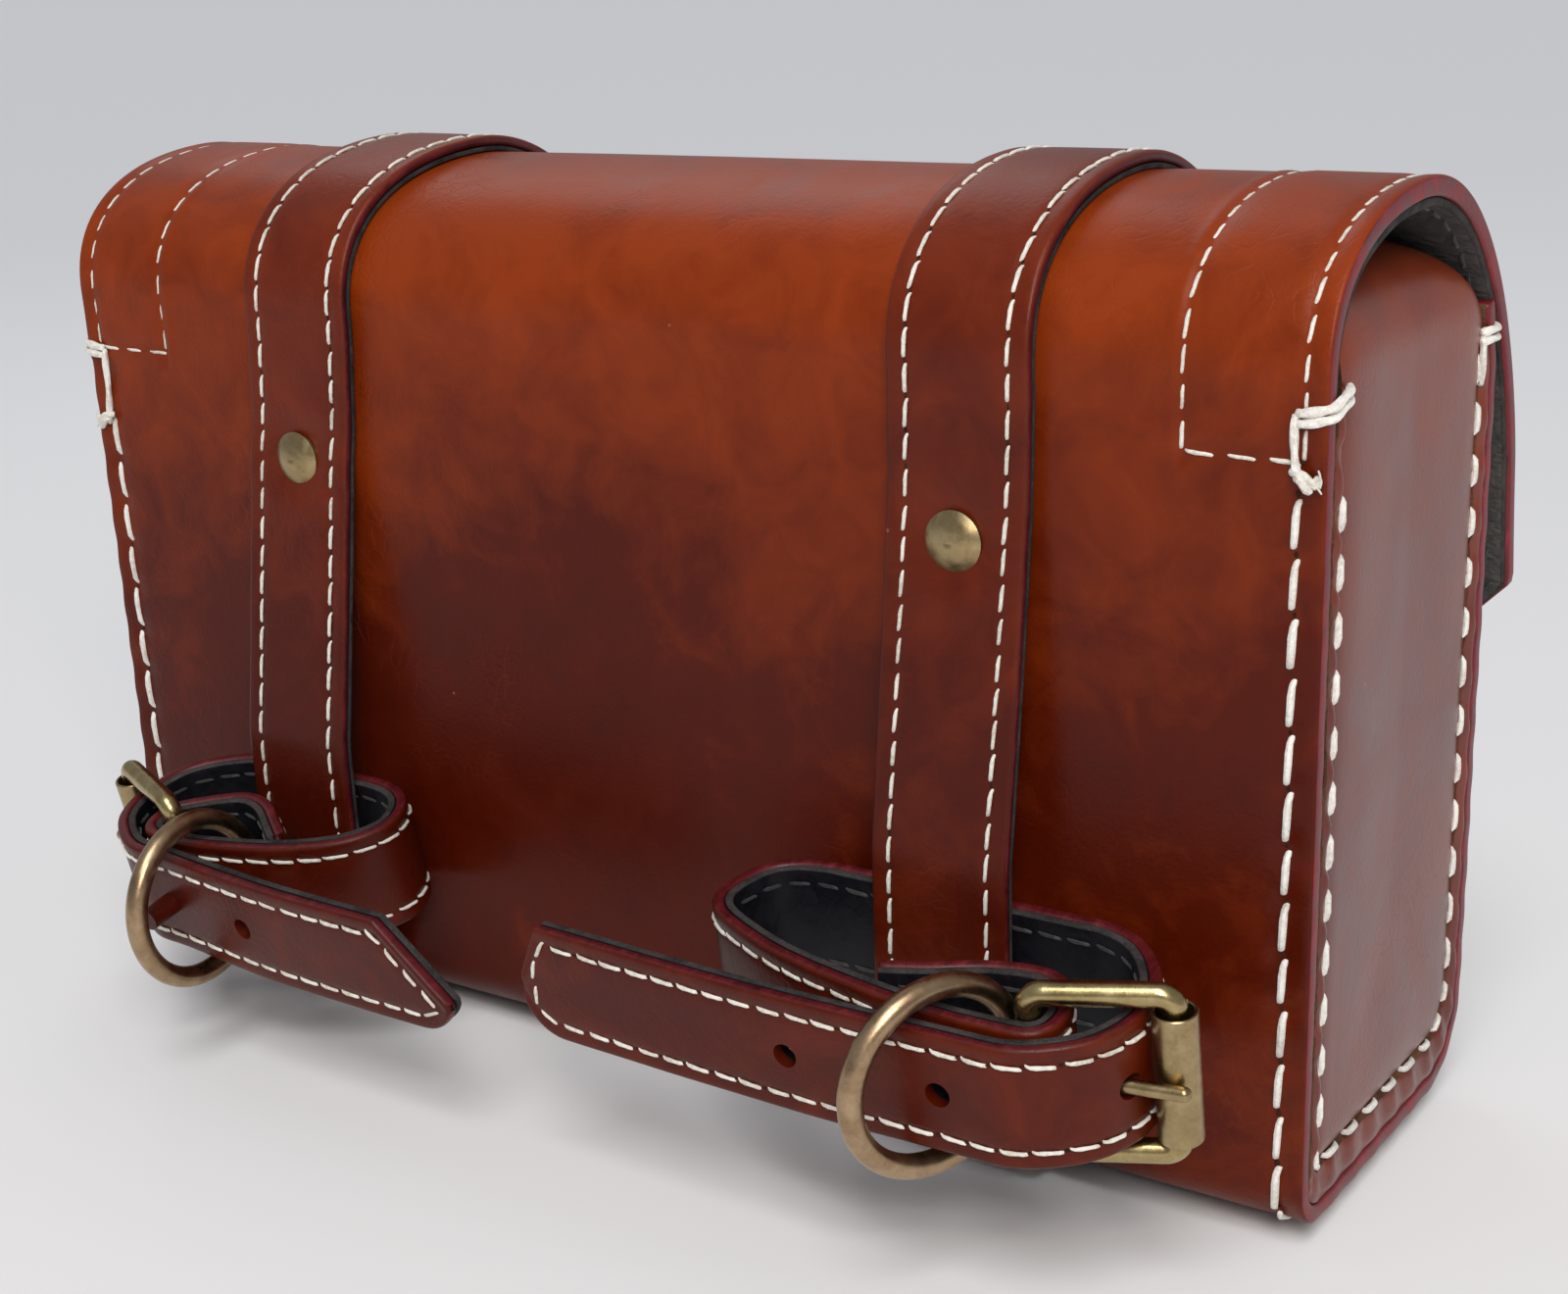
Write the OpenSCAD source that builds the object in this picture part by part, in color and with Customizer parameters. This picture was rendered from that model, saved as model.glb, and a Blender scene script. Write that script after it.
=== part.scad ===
// Leather saddle bag: a wrap that forms front, bottom and back, a flap that
// folds over it, two recessed gussets, two long straps and two buckled mounting
// straps. +X is to the right seen from the mounting side, -Y is the mounting
// side, +Z is up. The origin is the bottom centre of the bounding box.

/* [Body] */
// Width of the bag between its two side edges
body_w = 260; // [220:1:340]
// Depth between the outer faces of the front and back walls
body_d = 72; // [56:1:110]
// Height from the underside of the wrap to the crown of the flap
body_h = 160; // [140:1:220]
// Thickness of the main leather
leather_t = 3; // [2:0.1:4]
// Distance from the crown down to the fold line of the flap
fold_drop = 31; // [26:1:40]
// Distance from the crown down to the top edge of the front wall
front_drop = 30; // [29:1:40]
// Radius of the front bottom corner
front_corner_r = 15; // [8:1:20]
// Radius of the back bottom corner
back_corner_r = 8; // [6:1:14]

/* [Flap] */
// Height of the lower edge of the flap below the crown
flap_drop = 98; // [80:1:110]
// How far the flap's lower edge stands out in front of the front wall
flap_standoff = 19; // [14:1:26]
// Size of the cut lower corners of the flap
flap_corner_cut = 24; // [10:1:30]
// Width of the strips sewn inside the side edges of the flap
edge_strip_w = 25; // [15:1:35]
// Thickness of those strips
edge_strip_t = 1.5; // [1:0.1:2]

/* [Gussets] */
// Thickness of the gusset leather
gusset_t = 2.4; // [1.6:0.1:3]
// How far the gusset's web is set in from the side edge
gusset_recess = 5; // [4:0.5:16]
// Distance from the crown down to the top of the gusset's sewn flange
gusset_drop = 36; // [32:1:50]
// Distance from the crown down to the top of the gusset's free ear
ear_drop = 14; // [12:1:24]

/* [Long straps] */
// Distance of each long strap's centre line from the middle of the bag
strap_x = 71; // [50:1:78]
// Width of the long straps
strap_w = 25; // [18:1:30]
// Thickness of a long strap's leather
strap_t = 1.9; // [1.8:0.1:3.2]
// Thickness of a long strap's backing
strap_backing_t = 1.1; // [1:0.1:2.2]
// Height of the rivet on the back of each long strap above the underside
rivet_z = 107.5; // [92:0.5:118]
// Height of each front buckle's bar above the underside
chape_z = 36; // [32:1:42]
// Height of the hanging tip of the closure strap above the underside
closure_tip_z = 20; // [12:1:30]

/* [Mounting straps] */
// Width of the mounting straps
mount_w = 21; // [16:0.5:24]
// Thickness of a mounting strap's leather
mount_leather_t = 2.2; // [1.6:0.1:2.6]
// Thickness of a mounting strap's backing
mount_backing_t = 1.4; // [1:0.1:1.8]
// Play of a mounting strap in the tunnel behind the long strap, each side
tunnel_gap = 0.5; // [0.4:0.1:1]

/* [Buckles] */
// Radius of the wire of frames and rings
wire_r = 2; // [1.5:0.1:2.2]
// Distance between the two bars of a buckle
buckle_l = 21.5; // [20:0.5:26]
// Outer radius of the rollers
roller_r = 3.5; // [3:0.1:4]
// Radius of the prongs
prong_r = 1.2; // [1:0.1:1.4]
// Radial clearance of every running fit
fit_gap = 0.05; // [0.02:0.01:0.09]
// Centre-line radius of the keeper rings
ring_r = 15; // [14.5:0.5:18]

/* [Fasteners and thread] */
// Radius of the rivet caps
rivet_cap_r = 5; // [4:0.5:6]
// Radius of the rivet posts
rivet_post_r = 1.5; // [1:0.1:2]
// Length of one hand stitch
stitch_l = 7.2; // [5:0.1:8]
// Spacing of the hand stitches
stitch_pitch = 9; // [8:0.5:12]
// Distance of the hand stitching from the side edge
stitch_inset = 4.5; // [3:0.5:7]
// Radius of the hand-stitching thread
thread_r = 0.75; // [0.5:0.05:1]
// Radius of the awl-punched strap holes
hole_r = 2.1; // [1.9:0.1:2.5]

/* [Hidden] */
$fn = 40;

LEATHER = [0.45, 0.13, 0.05];
BACKING = [0.1, 0.09, 0.1];
STRIP = [0.3, 0.27, 0.25];
BRASS = [0.66, 0.56, 0.38];
THREAD = [0.9, 0.88, 0.8];

// Heights and offsets that follow from the sizes above
fold_z = body_h - fold_drop;
front_z = body_h - front_drop;
gusset_z = body_h - gusset_drop;
ear_z = body_h - ear_drop;
flap_z = body_h - flap_drop;
flap_low_y = body_d / 2 + flap_standoff;
strap_total = strap_t + strap_backing_t;
lift = strap_total;
fold_gap = 0.3;
mount_t = mount_leather_t + mount_backing_t;

// The two mounting straps hang differently. RIGHT and LEFT list, in a frame
// that starts at the tunnel: droop angle, height of the strap's middle, x of the
// bend, heel bar, ring centre, ring lean, x of the tip, reach of the tip,
// height and length of the slanted top of the tip, and the x of the free holes
RIGHT = [8, 39, 35.3, [99, 26.5], [86, 33.6], 25, 7.4, 35, [10, 5], [89, 62]];
LEFT = [12, 36.5, 43.8, [86, 24.5], [75.5, 32.7], 3, 9, 36.5, [15, 14], [79, 58.5]];
function droop(s) = s[0];
function mid_z(s) = s[1];
function bend_x(s) = s[2];
function heel(s) = s[3];
function ring_c(s) = s[4];
function ring_lean(s) = s[5];
function tip_x(s) = s[6];
function tip_v(s) = s[7];
function tip_cut(s) = s[8];
function free_holes(s) = s[9];
frame_angle = 21.8;
slot_half = 2.6;

// Depth of the tunnel that a drooping mounting strap needs
function tunnel(s) = mount_t * cos(droop(s)) + mount_w * sin(droop(s)) + 2 * tunnel_gap;
function tunnel_y(s) = -body_d / 2 - tunnel(s) / 2;

// Reach of the bag in front and behind, which puts the origin mid-way
function ring_reach(s) = tunnel_y(s) - cos(droop(s)) * ring_c(s)[1]
  - ring_r * sqrt(pow(sin(droop(s)), 2) + pow(cos(droop(s)) * cos(ring_lean(s)), 2)) - wire_r;
back_reach = min(ring_reach(RIGHT), ring_reach(LEFT));

// ---- Paths -------------------------------------------------------------
function unit(v) = v / norm(v);
function turn(v) = [-v[1], v[0]];
function arc(c, r, a0, a1, n) = [for (i = [0:n]) c + r * [cos(a0 + (a1 - a0) * i / n), sin(a0 + (a1 - a0) * i / n)]];
function bezier(p, t) = pow(1 - t, 3) * p[0] + 3 * t * pow(1 - t, 2) * p[1]
  + 3 * t * t * (1 - t) * p[2] + pow(t, 3) * p[3];
function curve(p, n) = [for (i = [1:n]) bezier(p, i / n)];
function normals(p) = [for (i = [0:len(p) - 1])
  turn(unit(p[min(i + 1, len(p) - 1)] - p[max(i - 1, 0)]))];
function shifted(p, d) = let (n = normals(p)) [for (i = [0:len(p) - 1]) p[i] + d * n[i]];
function reversed(p) = [for (i = [len(p) - 1:-1:0]) p[i]];
// Smooth curve through every point of a list
function smooth(p, n) = concat([for (i = [0:len(p) - 2], j = [0:n - 1])
  let (t = j / n, a = p[max(i - 1, 0)], b = p[i], c = p[i + 1], d = p[min(i + 2, len(p) - 1)])
  0.5 * (2 * b + (c - a) * t + (2 * a - 5 * b + 4 * c - d) * t * t + (3 * b - a - 3 * c + d) * t * t * t)],
  [p[len(p) - 1]]);

// Flat band between two offsets of a path
module band(path, from, to) {
  polygon(concat(shifted(path, from), reversed(shifted(path, to))));
}

// Extrudes a profile drawn in y and z along x, between two values of x
module along_x(x0, x1) {
  translate([x0, 0, 0]) rotate([90, 0, 90]) linear_extrude(x1 - x0) children();
}

// Moves the bag's own frame (middle of the body, underside of the wrap) to the origin
module place() {
  translate([0, -(front_reach + back_reach) / 2, lift]) children();
}

module sided(side) {
  if (side > 0) children(); else mirror([1, 0, 0]) children();
}

// Outer face of the wrap in y and z, from the top of the front to the fold
wrap_path = concat(
  [[body_d / 2, front_z]],
  arc([body_d / 2 - front_corner_r, front_corner_r], front_corner_r, 0, -90, 10),
  arc([-body_d / 2 + back_corner_r, back_corner_r], back_corner_r, -90, -180, 8),
  [[-body_d / 2, fold_z - fold_gap / 2]]
);
// Outer face of the flap in y and z, from the fold over the crown to its lower edge
crown = [0, body_h];
brow = [body_d / 2 + flap_standoff * 0.67, body_h - flap_drop * 0.52];
flap_path = concat(
  [[-body_d / 2, fold_z + fold_gap / 2], [-body_d / 2, fold_z + 4]],
  curve([[-body_d / 2, fold_z + 4], [-body_d / 2 - 2, fold_z + 23], [-20, body_h - 0.5], crown], 10),
  curve([crown, [20, body_h + 0.3], [brow[0] - 8, body_h - 14], brow], 14),
  [[flap_low_y, flap_z]]
);
// Direction of the flap's front, which the closure strap keeps on below it
front_slope = unit([flap_low_y, flap_z] - brow);
closure_end = [flap_low_y, flap_z] + front_slope * (flap_z - closure_tip_z) / -front_slope[1];
front_reach = closure_end[0] + strap_total * 0.99;

// ---- Body --------------------------------------------------------------
module body_wrap() {
  color(LEATHER) place() difference() {
    along_x(-body_w / 2, body_w / 2) band(wrap_path, 0, -leather_t);
    rivet_holes();
  }
}

// Free top of the gusset's web, which stays clear of the flap above the sewn flange
ear_back = -body_d / 2 + leather_t + edge_strip_t + 0.7;
ear_front = body_d / 2 - leather_t - 0.5;
ear_path = smooth([
  [ear_back, gusset_z - 4], [ear_back + 0.2, gusset_z + 2], [ear_back + 1.6, ear_z - 9], [ear_back + 9, ear_z - 1.8],
  [0, ear_z], [ear_front - 14, ear_z - 2], [ear_front - 5, ear_z - 8], [ear_front, front_z - 6]], 4);

module gusset(side) {
  inner = shifted(wrap_path, -leather_t);
  web_x = body_w / 2 - gusset_recess;
  color(LEATHER) place() sided(side) {
    intersection() {
      union() {
        along_x(web_x, body_w / 2) band(wrap_path, -leather_t, -leather_t - gusset_t);
        along_x(web_x, web_x + gusset_t) polygon(inner);
      }
      translate([0, -body_d, -1]) cube([body_w, 2 * body_d, gusset_z + 1]);
    }
    along_x(web_x, web_x + gusset_t) polygon(concat(ear_path, [[ear_front, gusset_z - 4]]));
  }
}

// ---- Flap --------------------------------------------------------------
module corner_cuts() {
  for (side = [-1, 1]) translate([side * body_w / 2, 0, flap_z])
    rotate([90, 45, 0]) cube([flap_corner_cut * sqrt(2), flap_corner_cut * sqrt(2), 4 * body_d], center = true);
}

module flap_panel() {
  color(LEATHER) place() difference() {
    along_x(-body_w / 2, body_w / 2) band(flap_path, 0, -leather_t);
    corner_cuts();
  }
}

module flap_strip(side) {
  color(STRIP) place() difference() {
    sided(side) along_x(body_w / 2 - edge_strip_w, body_w / 2)
      band(flap_path, -leather_t, -leather_t - edge_strip_t);
    corner_cuts();
  }
}

// ---- Long straps -------------------------------------------------------
// Eases from 0 to 1 as z goes from one height to another
function ease(z, from, to) = let (t = max(0, min(1, (z - from) / (to - from)))) t * t * (3 - 2 * t);
function bulge(s, z) = tunnel(s) * min(
  ease(z, rivet_z - rivet_cap_r - 4, mid_z(s) + mount_w / 2 + 9), ease(z, back_corner_r + 1, mid_z(s) - mount_w / 2 - 1));
strap_steps = 34;
strap_top = fold_z - fold_gap / 2;
chape_gap = 0.4;
chape_t = 2.2;
chape_low = chape_z - 16;
function back_strap_path(s) = concat(
  [[body_d / 2, chape_low - chape_gap]],
  arc([body_d / 2 - front_corner_r, front_corner_r], front_corner_r, 0, -90, 10),
  arc([-body_d / 2 + back_corner_r, back_corner_r], back_corner_r, -90, -180, 8),
  [for (i = [1:strap_steps])
    let (z = back_corner_r + (strap_top - back_corner_r) * i / strap_steps) [-body_d / 2 - bulge(s, z), z]]
);

module back_strap(side, s, from, to, tint) {
  color(tint) place() difference() {
    along_x(side * strap_x - strap_w / 2, side * strap_x + strap_w / 2) band(back_strap_path(s), from, to);
    rivet_holes();
  }
}

closure_path = concat(flap_path, [closure_end]);

module closure_strap(side, from, to, tint) {
  tip_z = closure_tip_z;
  color(tint) place() translate([side * strap_x, 0, 0]) difference() {
    intersection() {
      along_x(-strap_w / 2, strap_w / 2) band(closure_path, from, to);
      translate([0, body_d * 2, 0]) rotate([90, 0, 0]) linear_extrude(body_d * 4) union() {
        translate([-strap_w / 2, tip_z + strap_w / 2]) square([strap_w, body_h]);
        translate([0, tip_z + strap_w / 2]) circle(strap_w / 2);
      }
    }
    for (i = [0:2]) translate([0, flap_low_y, tip_z + 14 + i * 11])
      rotate([90, 0, 0]) cylinder(r = hole_r, h = 30, center = true);
  }
}

// ---- Rivets ------------------------------------------------------------
rivet_chape_z = chape_z - 10;

module at_rivets() {
  for (side = [-1, 1]) {
    translate([side * strap_x, -body_d / 2, rivet_z]) rotate([90, 0, 0]) children(0);
    translate([side * strap_x, body_d / 2, rivet_chape_z]) rotate([-90, 0, 0]) children(1);
  }
}

chape_stack = 2 * chape_t;

module rivet_holes() {
  at_rivets() {
    translate([0, 0, -leather_t - 1]) cylinder(r = rivet_post_r, h = leather_t + strap_total + 2);
    translate([0, 0, -leather_t - 1]) cylinder(r = rivet_post_r, h = leather_t + chape_stack + 2);
  }
}

module rivet_cap() {
  dome_r = rivet_cap_r * 1.6;
  rim = 0.6;
  cylinder(r = rivet_cap_r, h = rim);
  translate([0, 0, rim]) intersection() {
    translate([0, 0, -sqrt(dome_r * dome_r - rivet_cap_r * rivet_cap_r)]) sphere(dome_r);
    cylinder(r = rivet_cap_r, h = dome_r);
  }
}

module rivet_heads() {
  color(BRASS) place() at_rivets() {
    translate([0, 0, strap_total]) rivet_cap();
    translate([0, 0, chape_stack]) rivet_cap();
  }
}

module rivet_posts() {
  color(BRASS) place() at_rivets() {
    translate([0, 0, -leather_t]) cylinder(r = rivet_post_r, h = leather_t + strap_total);
    translate([0, 0, -leather_t]) cylinder(r = rivet_post_r, h = leather_t + chape_stack);
  }
}

module rivet_burrs() {
  burr_t = 0.8;
  color(BRASS) place() at_rivets() {
    translate([0, 0, -leather_t - burr_t]) cylinder(r = rivet_cap_r - 1, h = burr_t);
    translate([0, 0, -leather_t - burr_t]) cylinder(r = rivet_cap_r - 1, h = burr_t);
  }
}

// ---- Buckles -----------------------------------------------------------
// A buckle lies in its own x-z plane: its heel bar is the z axis at x = 0, its
// roller bar is at x = buckle_l. half is half the distance between its sides.
corner_r = 2.6;

module quarter(x, z, a) {
  translate([x, 0, z]) rotate([90, 0, 0]) rotate([0, 0, a])
    rotate_extrude(angle = 90) translate([corner_r, 0]) circle(wire_r);
}

module buckle_frame(half) {
  color(BRASS) {
    for (x = [0, buckle_l]) translate([x, 0, 0])
      cylinder(r = wire_r, h = 2 * (half - corner_r), center = true);
    for (z = [-half, half]) translate([corner_r, 0, z])
      rotate([0, 90, 0]) cylinder(r = wire_r, h = buckle_l - 2 * corner_r);
    quarter(buckle_l - corner_r, half - corner_r, 0);
    quarter(corner_r, half - corner_r, 90);
    quarter(corner_r, corner_r - half, 180);
    quarter(buckle_l - corner_r, corner_r - half, 270);
  }
}

module buckle_roller(half) {
  color(BRASS) translate([buckle_l, 0, 0]) difference() {
    cylinder(r = roller_r, h = 2 * (half - corner_r), center = true);
    cylinder(r = wire_r + fit_gap, h = 2 * half, center = true);
  }
}

// The prong's eye turns on the heel bar and its tip rests on the roller's -y side
prong_rise = asin((roller_r + prong_r + fit_gap) / buckle_l);
prong_l = buckle_l * cos(prong_rise) + 2.2;

module buckle_prong() {
  eye_h = 3.6;
  eye_wall = 1.4;
  color(BRASS) difference() {
    union() {
      cylinder(r = wire_r + eye_wall, h = eye_h, center = true);
      rotate([0, 0, -prong_rise]) {
        rotate([0, 90, 0]) cylinder(r = prong_r, h = prong_l);
        translate([prong_l, 0, 0]) sphere(prong_r);
      }
    }
    cylinder(r = wire_r + fit_gap, h = 2 * eye_h, center = true);
  }
}

// ---- Front buckles -----------------------------------------------------
front_half = strap_w / 2 + wire_r + 0.8;
chape_bore = wire_r + fit_gap;
chape_y = body_d / 2 + chape_t + chape_bore;

// Turns a buckle so that its heel bar lies along x and its roller is above it
module at_front(side) {
  translate([side * strap_x, chape_y, chape_z]) rotate([0, -90, 0]) rotate([180, 0, 0]) children();
}

module chape(side) {
  low_y = body_d / 2 + chape_t;
  outer = chape_bore + chape_t;
  color(LEATHER) place() difference() {
    along_x(side * strap_x - strap_w / 2, side * strap_x + strap_w / 2) difference() {
      union() {
        translate([chape_y, chape_z]) circle(outer);
        polygon([[body_d / 2, chape_low], [low_y + chape_t, chape_low], [low_y + chape_t, chape_z - 4.8],
          [chape_y + outer, chape_z], [body_d / 2, chape_z]]);
      }
      translate([chape_y, chape_z]) circle(chape_bore);
    }
    translate([side * strap_x - slot_half, body_d / 2 + 0.5, chape_z - 5]) cube([2 * slot_half, 20, 20]);
    rivet_holes();
  }
}

module front_buckle(side) { place() at_front(side) buckle_frame(front_half); }

module front_roller(side) { place() at_front(side) buckle_roller(front_half); }

module front_prong(side) { place() at_front(side) buckle_prong(); }

// ---- Mounting straps ---------------------------------------------------
// Drawn in a frame whose origin is the middle of the run in the tunnel and
// whose +y points at the bag, so reach away from the bag is minus y
function out(x, v) = [x, -v];
function heel_pt(s) = out(heel(s)[0], heel(s)[1]);
over_heel_r = wire_r + mount_t / 2 + 0.3;
function over_heel(s, a) = heel_pt(s) + over_heel_r * [cos(a), -sin(a)];
function ring_inner(s) = out(ring_c(s)[0] + ring_r * sin(ring_lean(s)), ring_c(s)[1] - ring_r * cos(ring_lean(s)));
function behind_ring(s) = ring_inner(s)
  + (wire_r + mount_t / 2 + 0.9) * [sin(ring_lean(s)), cos(ring_lean(s))];
function roller_pt(s) = heel_pt(s) + buckle_l * [cos(frame_angle), sin(frame_angle)];

function mount_path(s) = let (h = heel(s), b = behind_ring(s), r = roller_pt(s), x = bend_x(s),
    run = h[0] - x, v1 = h[1] + over_heel_r, v2 = v1 + mount_t + 0.6) smooth([
  // Turned-back end, lying against the inner layer and bulging round the ring
  out(b[0] - 0.36 * run, v1 - mount_t - 3.3), b + [-0.25 * run, -5.4], b + [-0.12 * run, -1.6], b, b + [4.6, -1.2],
  // Fold round the heel bar
  heel_pt(s) + [3.4, 4.2], over_heel(s, 0), over_heel(s, 32), over_heel(s, 64), over_heel(s, 94),
  out(h[0] - 4.6, v1 + 0.2), out(h[0] - 0.22 * run, v1 + 0.1),
  // Inner layer and bend
  out(x + 0.52 * run, v1 - 2.2), out(x + 0.31 * run, v1 - 5), out(x + 0.14 * run, v1 - 9),
  out(x + 2, v1 - 13), out(x, v1 - 18.2), out(x + 2.2, 4.6), out(x + 6.6, 1.2),
  // Run through the tunnel
  out(x + 12.5, 0), out(x + 17, 0), out(r[0] - 27, 0), r + [-20, -r[1] - 0.1],
  // Up inside the roller, over the heel bar and on to the tip
  r + [-13.2, -r[1] - 3.2], r + [-7.6, 8], r + [-5.9, 1], r + [-6.4, -5], r + [-9.8, -11.2],
  out(h[0] + 2, v2 + 0.3), out(h[0] - 8, v2 + 1.2),
  out((h[0] + tip_x(s)) / 2, (v2 + tip_v(s)) / 2 + 1.6), out(tip_x(s), tip_v(s))], 3);

module at_mount(side, s) {
  sided(side) translate([0, tunnel_y(s), mid_z(s)]) rotate([droop(s), 0, 0]) children();
}

// Shape of the free end, drawn in x and z and cut through the whole strap
module tip_cutter(s) {
  round_r = 8;
  low = -mount_w / 2;
  rotate([90, 0, 0]) linear_extrude(200, center = true) {
    polygon([[tip_x(s) - 9, -low + 1], [tip_x(s) + tip_cut(s)[1] + 0.5, -low + 1],
      [tip_x(s), -low - tip_cut(s)[0]], [tip_x(s) - 9, -low - tip_cut(s)[0]]]);
    translate([tip_x(s), low]) difference() {
      translate([-9, -1]) square([9 + round_r, round_r + 1]);
      translate([round_r, round_r]) circle(round_r);
    }
  }
}

module mounting_strap(side, s, from, to, tint) {
  h = heel(s);
  color(tint) place() at_mount(side, s) difference() {
    linear_extrude(mount_w, center = true) band(mount_path(s), from, to);
    tip_cutter(s);
    for (x = free_holes(s)) translate(concat(out(x, h[1] + 12), 0))
      rotate([90, 0, 0]) cylinder(r = hole_r, h = 11, center = true);
    translate(concat(heel_pt(s), 0)) rotate([0, 0, frame_angle - prong_rise])
      translate([8.5, 0, 0]) rotate([0, 90, 0]) cylinder(r = hole_r, h = 8.5);
    translate([h[0] - 4.5, -h[1] - wire_r - mount_t - 0.4, -slot_half]) cube([12, 9, 2 * slot_half]);
  }
}

module at_mount_buckle(side, s) {
  place() at_mount(side, s) translate(concat(heel_pt(s), 0)) rotate([0, 0, frame_angle]) children();
}

mount_half = mount_w / 2 + wire_r + 1.3;

module mounting_buckle(side, s) { at_mount_buckle(side, s) buckle_frame(mount_half); }

module mounting_roller(side, s) { at_mount_buckle(side, s) buckle_roller(mount_half); }

module mounting_prong(side, s) { at_mount_buckle(side, s) buckle_prong(); }

module keeper_ring(side, s) {
  color(BRASS) place() at_mount(side, s) translate([ring_c(s)[0], -ring_c(s)[1], 0])
    rotate([0, 0, -ring_lean(s)]) rotate([0, 90, 0]) rotate_extrude() translate([ring_r, 0]) circle(wire_r);
}

// ---- Hand stitching ----------------------------------------------------
// One stitch lies half sunk in the face of the wrap, pointing along it
module stitch_at(y, z, a) {
  translate([0, y, z]) rotate([a, 0, 0]) cylinder(r = thread_r, h = stitch_l, center = true);
}

module hand_stitching(side) {
  x = body_w / 2 - stitch_inset;
  top = gusset_z - 2;
  back_n = floor((top - back_corner_r) / stitch_pitch);
  front_n = floor((top - front_corner_r) / stitch_pitch);
  flat_l = body_d - front_corner_r - back_corner_r;
  base_n = floor(flat_l / stitch_pitch);
  color(THREAD) place() translate([side * x, 0, 0]) {
    for (i = [0:back_n - 1]) stitch_at(-body_d / 2 - thread_r, top - (i + 0.5) * stitch_pitch, 0);
    for (i = [0:front_n - 1]) stitch_at(body_d / 2 + thread_r, top - (i + 0.5) * stitch_pitch, 0);
    for (i = [0:base_n - 1])
      stitch_at(-body_d / 2 + back_corner_r + (i + 0.5) * flat_l / base_n, -thread_r, 90);
  }
}

// ---- Assembly ----------------------------------------------------------
body_wrap();
gusset(-1);  // gusset_left
gusset(1);  // gusset_right
flap_panel();
flap_strip(-1);  // flap_strip_left
flap_strip(1);  // flap_strip_right
back_strap(-1, LEFT, strap_backing_t, strap_total, LEATHER);  // back_strap_left
back_strap(-1, LEFT, 0, strap_backing_t, BACKING);  // back_strap_left_backing
back_strap(1, RIGHT, strap_backing_t, strap_total, LEATHER);  // back_strap_right
back_strap(1, RIGHT, 0, strap_backing_t, BACKING);  // back_strap_right_backing
closure_strap(-1, strap_backing_t, strap_total, LEATHER);  // closure_strap_left
closure_strap(-1, 0, strap_backing_t, BACKING);  // closure_strap_left_backing
closure_strap(1, strap_backing_t, strap_total, LEATHER);  // closure_strap_right
closure_strap(1, 0, strap_backing_t, BACKING);  // closure_strap_right_backing
chape(-1);  // chape_left
chape(1);  // chape_right
front_buckle(-1);  // front_buckle_left
front_roller(-1);  // front_roller_left
front_prong(-1);  // front_prong_left
front_buckle(1);  // front_buckle_right
front_roller(1);  // front_roller_right
front_prong(1);  // front_prong_right
mounting_strap(-1, LEFT, -mount_t / 2 + mount_backing_t, mount_t / 2, LEATHER);  // mounting_strap_left
mounting_strap(-1, LEFT, -mount_t / 2, -mount_t / 2 + mount_backing_t, BACKING);  // mounting_strap_left_backing
mounting_buckle(-1, LEFT);  // mounting_buckle_left
mounting_roller(-1, LEFT);  // mounting_roller_left
mounting_prong(-1, LEFT);  // mounting_prong_left
keeper_ring(-1, LEFT);  // keeper_ring_left
mounting_strap(1, RIGHT, -mount_t / 2 + mount_backing_t, mount_t / 2, LEATHER);  // mounting_strap_right
mounting_strap(1, RIGHT, -mount_t / 2, -mount_t / 2 + mount_backing_t, BACKING);  // mounting_strap_right_backing
mounting_buckle(1, RIGHT);  // mounting_buckle_right
mounting_roller(1, RIGHT);  // mounting_roller_right
mounting_prong(1, RIGHT);  // mounting_prong_right
keeper_ring(1, RIGHT);  // keeper_ring_right
rivet_heads();
rivet_posts();
rivet_burrs();
hand_stitching(-1);  // hand_stitching_left
hand_stitching(1);  // hand_stitching_right
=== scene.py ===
"""Looks of the leather saddle bag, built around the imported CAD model."""

import math
import random

import bmesh
import bpy
import numpy as np
from mathutils import Matrix, Vector, noise

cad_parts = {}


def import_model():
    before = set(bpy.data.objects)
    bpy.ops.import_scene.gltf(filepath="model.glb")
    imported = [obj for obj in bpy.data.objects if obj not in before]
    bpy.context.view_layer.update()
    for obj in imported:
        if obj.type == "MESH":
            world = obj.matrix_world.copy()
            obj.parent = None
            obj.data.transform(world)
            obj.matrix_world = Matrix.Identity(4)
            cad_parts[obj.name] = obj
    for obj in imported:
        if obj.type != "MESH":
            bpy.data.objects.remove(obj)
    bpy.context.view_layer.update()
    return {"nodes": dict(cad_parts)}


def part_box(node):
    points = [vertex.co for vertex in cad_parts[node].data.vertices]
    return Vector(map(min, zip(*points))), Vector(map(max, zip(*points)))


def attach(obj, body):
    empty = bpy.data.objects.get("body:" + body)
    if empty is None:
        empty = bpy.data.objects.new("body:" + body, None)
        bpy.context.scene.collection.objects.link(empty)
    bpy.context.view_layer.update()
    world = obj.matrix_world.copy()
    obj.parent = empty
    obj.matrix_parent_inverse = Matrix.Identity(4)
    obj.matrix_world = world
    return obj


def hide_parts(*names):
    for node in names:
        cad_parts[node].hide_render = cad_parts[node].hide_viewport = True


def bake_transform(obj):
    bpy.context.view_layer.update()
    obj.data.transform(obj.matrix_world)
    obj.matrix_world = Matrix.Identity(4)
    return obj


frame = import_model()
nodes = frame["nodes"]
rng = random.Random(11)

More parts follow.
